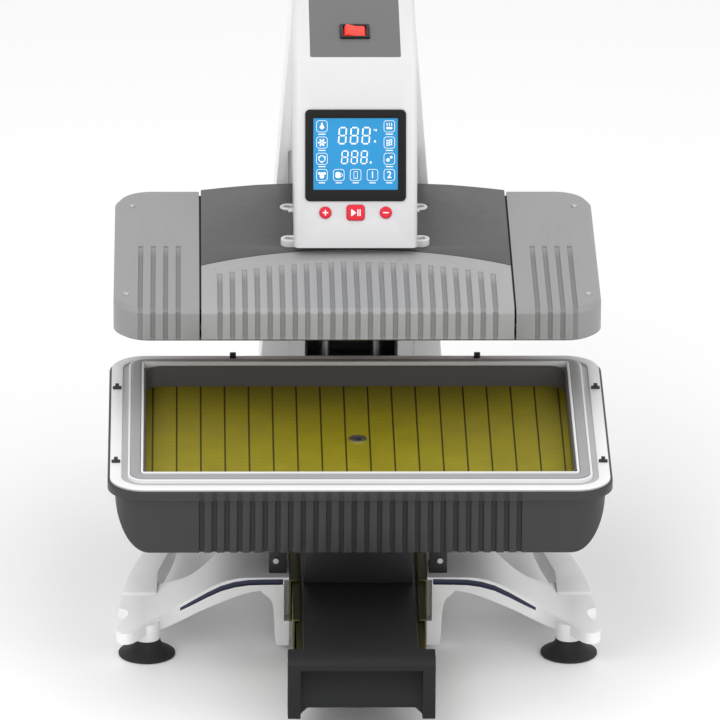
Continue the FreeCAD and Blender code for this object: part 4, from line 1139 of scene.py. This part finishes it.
TILT = math.radians(45)
THREE_LINES = (-0.0024, 0.0, 0.0024)
PICTURES: dict[Glyph, tuple[Mark, ...]] = {
    Glyph.FLAME: (Mark(0.0, -0.0008, 0.0042, 0.0042, TILT, corner=0.0014),
                  Mark(0.0, 0.0022, 0.0018, 0.0028)),
    Glyph.FAN: (Mark.ring(0.0, 0.0, 0.0014, 0.0006), *Mark.spokes(6, 0.0028, 0.0026, 0.0017)),
    Glyph.RING: (Mark.ring(0.0, 0.0, 0.0036, 0.0008),
                 *Mark.spokes(3, 0.0033, 0.0019, 0.0019, start=0.5)),
    Glyph.SHIRT: (Mark(0.0, -0.0004, 0.0044, 0.0062),
                  Mark(-0.0028, 0.0018, 0.0026, 0.0022, math.radians(40)),
                  Mark(0.0028, 0.0018, 0.0026, 0.0022, math.radians(-40))),
    Glyph.MUG: (Mark(-0.0008, 0.0, 0.0052, 0.0062), Mark.ring(0.0026, 0.0, 0.0016, 0.0005)),
    Glyph.PHONE: (Mark(0.0, 0.0, 0.0042, 0.0078, corner=0.0009, band=0.0005),
                  Mark(0.0, -0.0029, 0.0010, 0.0004)),
    Glyph.COIL: (*(Mark(x, 0.002, 0.0008, 0.0032, math.radians(12)) for x in THREE_LINES),
                 Mark(0.0, -0.0018, 0.0062, 0.0024)),
    Glyph.GRID: tuple(mark for step in THREE_LINES for mark in (
        Mark(0.0, step, 0.0066, 0.0007, math.radians(20)), Mark(step, 0.0, 0.0007, 0.0066))),
    Glyph.DROP: (Mark(-0.0014, -0.0012, 0.0034, 0.0034, TILT, corner=0.0012),
                 Mark(0.0020, 0.0016, 0.0026, 0.0026, TILT, corner=0.0010)),
}
SIDE_PICTURES = ((Glyph.FLAME, Glyph.COIL), (Glyph.FAN, Glyph.GRID), (Glyph.RING, Glyph.DROP))
BOTTOM_PICTURES = (Glyph.SHIRT, Glyph.MUG, Glyph.PHONE, Glyph.ONE, Glyph.TWO)
DIGIT_ROWS = (DigitRow(-0.0136, 0.0122, 0.0190, 0.0086, 0.0166),
              DigitRow(-0.0112, 0.0100, -0.0034, 0.0072, 0.0130))
UNIT_MARKS = (Mark.ring(0.0192, 0.0250, 0.0009, 0.0003), Mark(0.0212, 0.0246, 0.0014, 0.0022),
              Mark(0.0200, 0.0130, 0.0020, 0.0022), Mark(0.0156, -0.0088, 0.0018, 0.0024))


@dataclass
class Display:
    """Lit display: framed pictures round two rows of seven-segment digits."""

    screen_depth: float = 0.0072
    ink: float = 0.00025
    lift: float = 0.00002
    frame: Mark = Mark(0.0, 0.0, 0.0116, 0.0122, corner=0.0028, band=0.0005)
    column_x: float = 0.0349
    row_pitch: float = 0.0168
    top_y: float = 0.0286
    side_line: Mark = Mark(0.0, -0.0081, 0.0075, 0.0009)
    bottom_line: Mark = Mark(0.0, -0.0081, 0.0065, 0.0009)
    letter: float = 0.0098
    letter_offset: float = 0.0001
    lean: float = math.radians(4.0)
    parts: list[bpy.types.Object] = field(default_factory=list)

    def panel(self) -> Panel:
        """Return the plane of the window's front."""
        normal = -AXIS_OF["button_plus_press"]
        front = middle("display_screen") + normal * (self.screen_depth / 2)
        return Panel(front, normal, self.lift)

    def put(self, piece: bpy.types.Object, x: float, y: float, turn: float = 0.0) -> None:
        """Lay a flat piece on the window."""
        self.parts.append(Bench.settle(piece, self.panel().matrix(x, y, turn)))

    def lay(self, marks: Iterable[Mark], x: float = 0.0, y: float = 0.0) -> None:
        """Lay flat shapes on the window.

        Args:
            marks: the shapes.
            x: where their places are counted from, right of the window's centre.
            y: the same, above the window's centre.
        """
        for mark in marks:
            corner = mark.corner or min(mark.width, mark.height) * 0.3
            flat = Bench.outline("mark", mark.width, mark.height, corner, mark.band, self.ink)
            self.put(flat, x + mark.x, y + mark.y, mark.turn)

    def digit(self, x: float, y: float, width: float, height: float) -> None:
        """Lay a figure eight of seven segments, leaning a little."""
        thick = width * 0.17
        half = height / 4
        slope = math.tan(self.lean)
        level_bars = [Mark(level * half * 2 * slope, level * half * 2, width * 0.62, thick)
                      for level in (-1, 0, 1)]
        side_bars = [Mark(side * width * 0.42 + level * half * slope, level * half, thick,
                          half * 1.62, -self.lean) for level in (-1, 1) for side in (-1, 1)]
        self.lay(level_bars + side_bars, x, y)

    def figure(self, text: str, x: float, y: float) -> None:
        """Lay a plain number made from a text object."""
        Bench.clear()
        bpy.ops.object.text_add()
        piece = bpy.context.object
        piece.data.body = text
        piece.data.size = self.letter
        piece.data.extrude = self.ink / 2
        piece.data.offset = self.letter_offset
        piece.data.align_x = "CENTER"
        piece.data.align_y = "CENTER"
        bpy.ops.object.convert(target="MESH")
        self.put(bpy.context.object, x, y)

    def glyph(self, kind: Glyph, x: float, y: float) -> None:
        """Lay one framed picture or number at x right of and y above the centre."""
        self.lay([self.frame], x, y)
        if kind in PICTURES:
            self.lay(PICTURES[kind], x, y)
        else:
            self.figure(kind.value, x, y)

    def build(self) -> None:
        """Lay out the whole display as one printed piece."""
        for row, (left, right) in enumerate(SIDE_PICTURES):
            y = self.top_y - row * self.row_pitch
            self.glyph(left, -self.column_x, y)
            self.glyph(right, self.column_x, y)
            for x in (-self.column_x, self.column_x):
                self.lay([self.side_line], x, y)
        y = self.top_y - len(SIDE_PICTURES) * self.row_pitch
        for k, kind in enumerate(BOTTOM_PICTURES):
            x = (k - 2) * self.column_x / 2
            self.glyph(kind, x, y)
            self.lay([self.bottom_line], x, y)
        for k in range(3):
            for row in DIGIT_ROWS:
                self.digit(row.left + k * row.pitch, row.y, row.width, row.height)
        self.lay(UNIT_MARKS)
        hand_over(Bench.join(self.parts, "display_segments"), "frame", "white_shell",
                  finish="print")


@dataclass
class KeySymbols:
    """White symbols on the three keys, with sizes in metres.

    The start key's wedge is made of upright strips that get shorter to the right.
    """

    stand: float = 0.0003
    bar_long: float = 0.0058
    bar_wide: float = 0.0011
    below: float = 0.0608
    rise: float = 0.00075
    wedge_left: float = -0.0042
    wedge_step: float = 0.0006
    wedge_strip: float = 0.0008
    wedge_tall: float = 0.0072
    wedge_fall: float = 0.0009
    wedge_strips: int = 8
    pause_x: tuple[float, float] = (0.0024, 0.0046)
    pause_tall: float = 0.0070

    def face(self, node: str) -> Panel:
        """Return the plane of a key's top, level with the others below the display."""
        window = Display().panel()
        spot = window.matrix(middle(node).x, -self.below).translation
        return Panel(spot + window.normal * self.rise, window.normal)

    def bars(self, node: str, shapes: Sequence[tuple[float, float, float, float, float]]) -> None:
        """Lay bars on one key and ride them on it.

        Args:
            node: the key's node, which is also its body.
            shapes: x, y, width, height and turn of each bar.
        """
        panel = self.face(node)
        parts = []
        for x, y, width, height, turn in shapes:
            bar = Bench.outline("mark", width, height, min(width, height) * 0.2, 0.0, self.stand)
            parts.append(Bench.settle(bar, panel.matrix(x, y, turn)))
        hand_over(Bench.join(parts, node + "_mark"), node, "white_shell", finish="print")

    def build(self) -> None:
        """Put plus, minus and start-pause marks on their keys."""
        long, wide = self.bar_long, self.bar_wide
        self.bars("button_plus", [(0, 0, long, wide, 0), (0, 0, wide, long, 0)])
        self.bars("button_minus", [(0, 0, long, wide, 0)])
        wedge = [(self.wedge_left + self.wedge_step * k, 0, self.wedge_strip,
                  self.wedge_tall - self.wedge_fall * k, 0) for k in range(self.wedge_strips)]
        pause = [(x, 0, wide, self.pause_tall, 0) for x in self.pause_x]
        self.bars("button_start", wedge + pause)


class Fixed:
    """CAD nodes whose shape is right: each keeps its mesh and gets its finish."""

    @staticmethod
    def build(replaced: set[str]) -> None:
        """Dress every node that no new piece stands for."""
        for name, node in frame["nodes"].items():
            if name in replaced:
                continue
            for spot in node.material_slots:
                spot.material = WARDROBE.get(SLOT_OF[name])
            LOG.info("%s keeps its shape", name)


# --------------------------------------------------------------------------
# studio
# --------------------------------------------------------------------------
@dataclass(frozen=True)
class Lamp:
    """One soft square lamp: its place, side in metres and power in watts."""

    name: str
    spot: Place
    size: float
    power: float


@dataclass
class Studio:
    """Pale floor, soft lights and the long-lens camera."""

    azimuth: float = -1.08
    elevation: float = 21.22
    distance: float = 10.127
    lens: float = 495.7
    sensor: float = 36.0
    sight: float = 100.0
    roll: float = 0.355
    aim: Place = (0.002, -0.089, 0.2882)
    lamp_aim: Place = (0.0, -0.1, 0.25)
    lamps: tuple[Lamp, ...] = (Lamp("key_lamp", (-1.1, -1.6, 2.3), 1.6, 20.0),
                               Lamp("fill_lamp", (1.7, -1.5, 1.5), 1.8, 11.0),
                               Lamp("top_lamp", (0.1, 0.5, 2.6), 1.6, 7.0))
    sky: Colour = (1.0, 1.0, 1.0)
    sky_strength: float = 0.90
    floor_tone: Colour = (0.93, 0.93, 0.93)
    floor_size: float = 60.0
    floor_z: float = -0.0002

    def camera(self) -> None:
        """Set the camera on its long lens."""
        a, e = math.radians(self.azimuth), math.radians(self.elevation)
        back = Vector((math.sin(a) * math.cos(e), -math.cos(a) * math.cos(e), math.sin(e)))
        data = bpy.data.cameras.new("camera")
        data.lens = self.lens
        data.sensor_width = self.sensor
        data.clip_end = self.sight
        view = bpy.data.objects.new("camera", data)
        bpy.context.scene.collection.objects.link(view)
        spot = Vector(self.aim) + back * self.distance
        turn = back.to_track_quat("Z", "Y").to_matrix().to_4x4()
        spin = Matrix.Rotation(math.radians(self.roll), 4, "Z")
        view.matrix_world = Matrix.Translation(spot) @ turn @ spin
        bpy.context.scene.camera = view

    def hang(self, lamp: Lamp) -> None:
        """Hang one lamp that looks at the object."""
        data = bpy.data.lights.new(lamp.name, "AREA")
        data.shape = "SQUARE"
        data.size = lamp.size
        data.energy = lamp.power
        piece = bpy.data.objects.new(lamp.name, data)
        bpy.context.scene.collection.objects.link(piece)
        piece.location = lamp.spot
        away = Vector(lamp.spot) - Vector(self.lamp_aim)
        piece.rotation_euler = away.to_track_quat("Z", "Y").to_euler()

    def floor(self) -> None:
        """Lay a plain pale floor with no edge in view."""
        Bench.clear()
        bpy.ops.mesh.primitive_plane_add(size=self.floor_size, location=(0, 0, self.floor_z))
        piece = bpy.context.object
        piece.name = "studio_floor"
        Bench.settle(piece)
        mix = Recipe("studio_floor_finish")
        mix.set(Base_Color=self.floor_tone, Roughness=0.8, Specular_IOR_Level=0.1)
        piece.data.materials.append(mix.material)

    def build(self) -> None:
        """Make world, floor, lamps and camera, and show colours without a film curve."""
        bpy.context.scene.view_settings.view_transform = "Standard"
        world = bpy.data.worlds.new("studio")
        bpy.context.scene.world = world
        world.use_nodes = True
        background = world.node_tree.nodes["Background"]
        background.inputs["Color"].default_value = (*self.sky, 1.0)
        background.inputs["Strength"].default_value = self.sky_strength
        self.floor()
        for lamp in self.lamps:
            self.hang(lamp)
        self.camera()


def main() -> None:
    """Build the press in order: shells, feet, screws, display, keys, studio."""
    logging.basicConfig(level=logging.INFO, format="%(message)s")
    shells, castings, feet = Shells(), Castings(), Feet()
    shells.build()
    castings.build()
    feet.build()
    ScrewSet().build()
    Display().build()
    KeySymbols().build()
    replaced = {*shells.roundings, *feet.nodes, *dict(castings.sides), "cap_screws",
                "hanger_screws", "front_plate_screws"}
    Fixed.build(replaced)
    Studio().build()


if __name__ == "__main__":
    main()
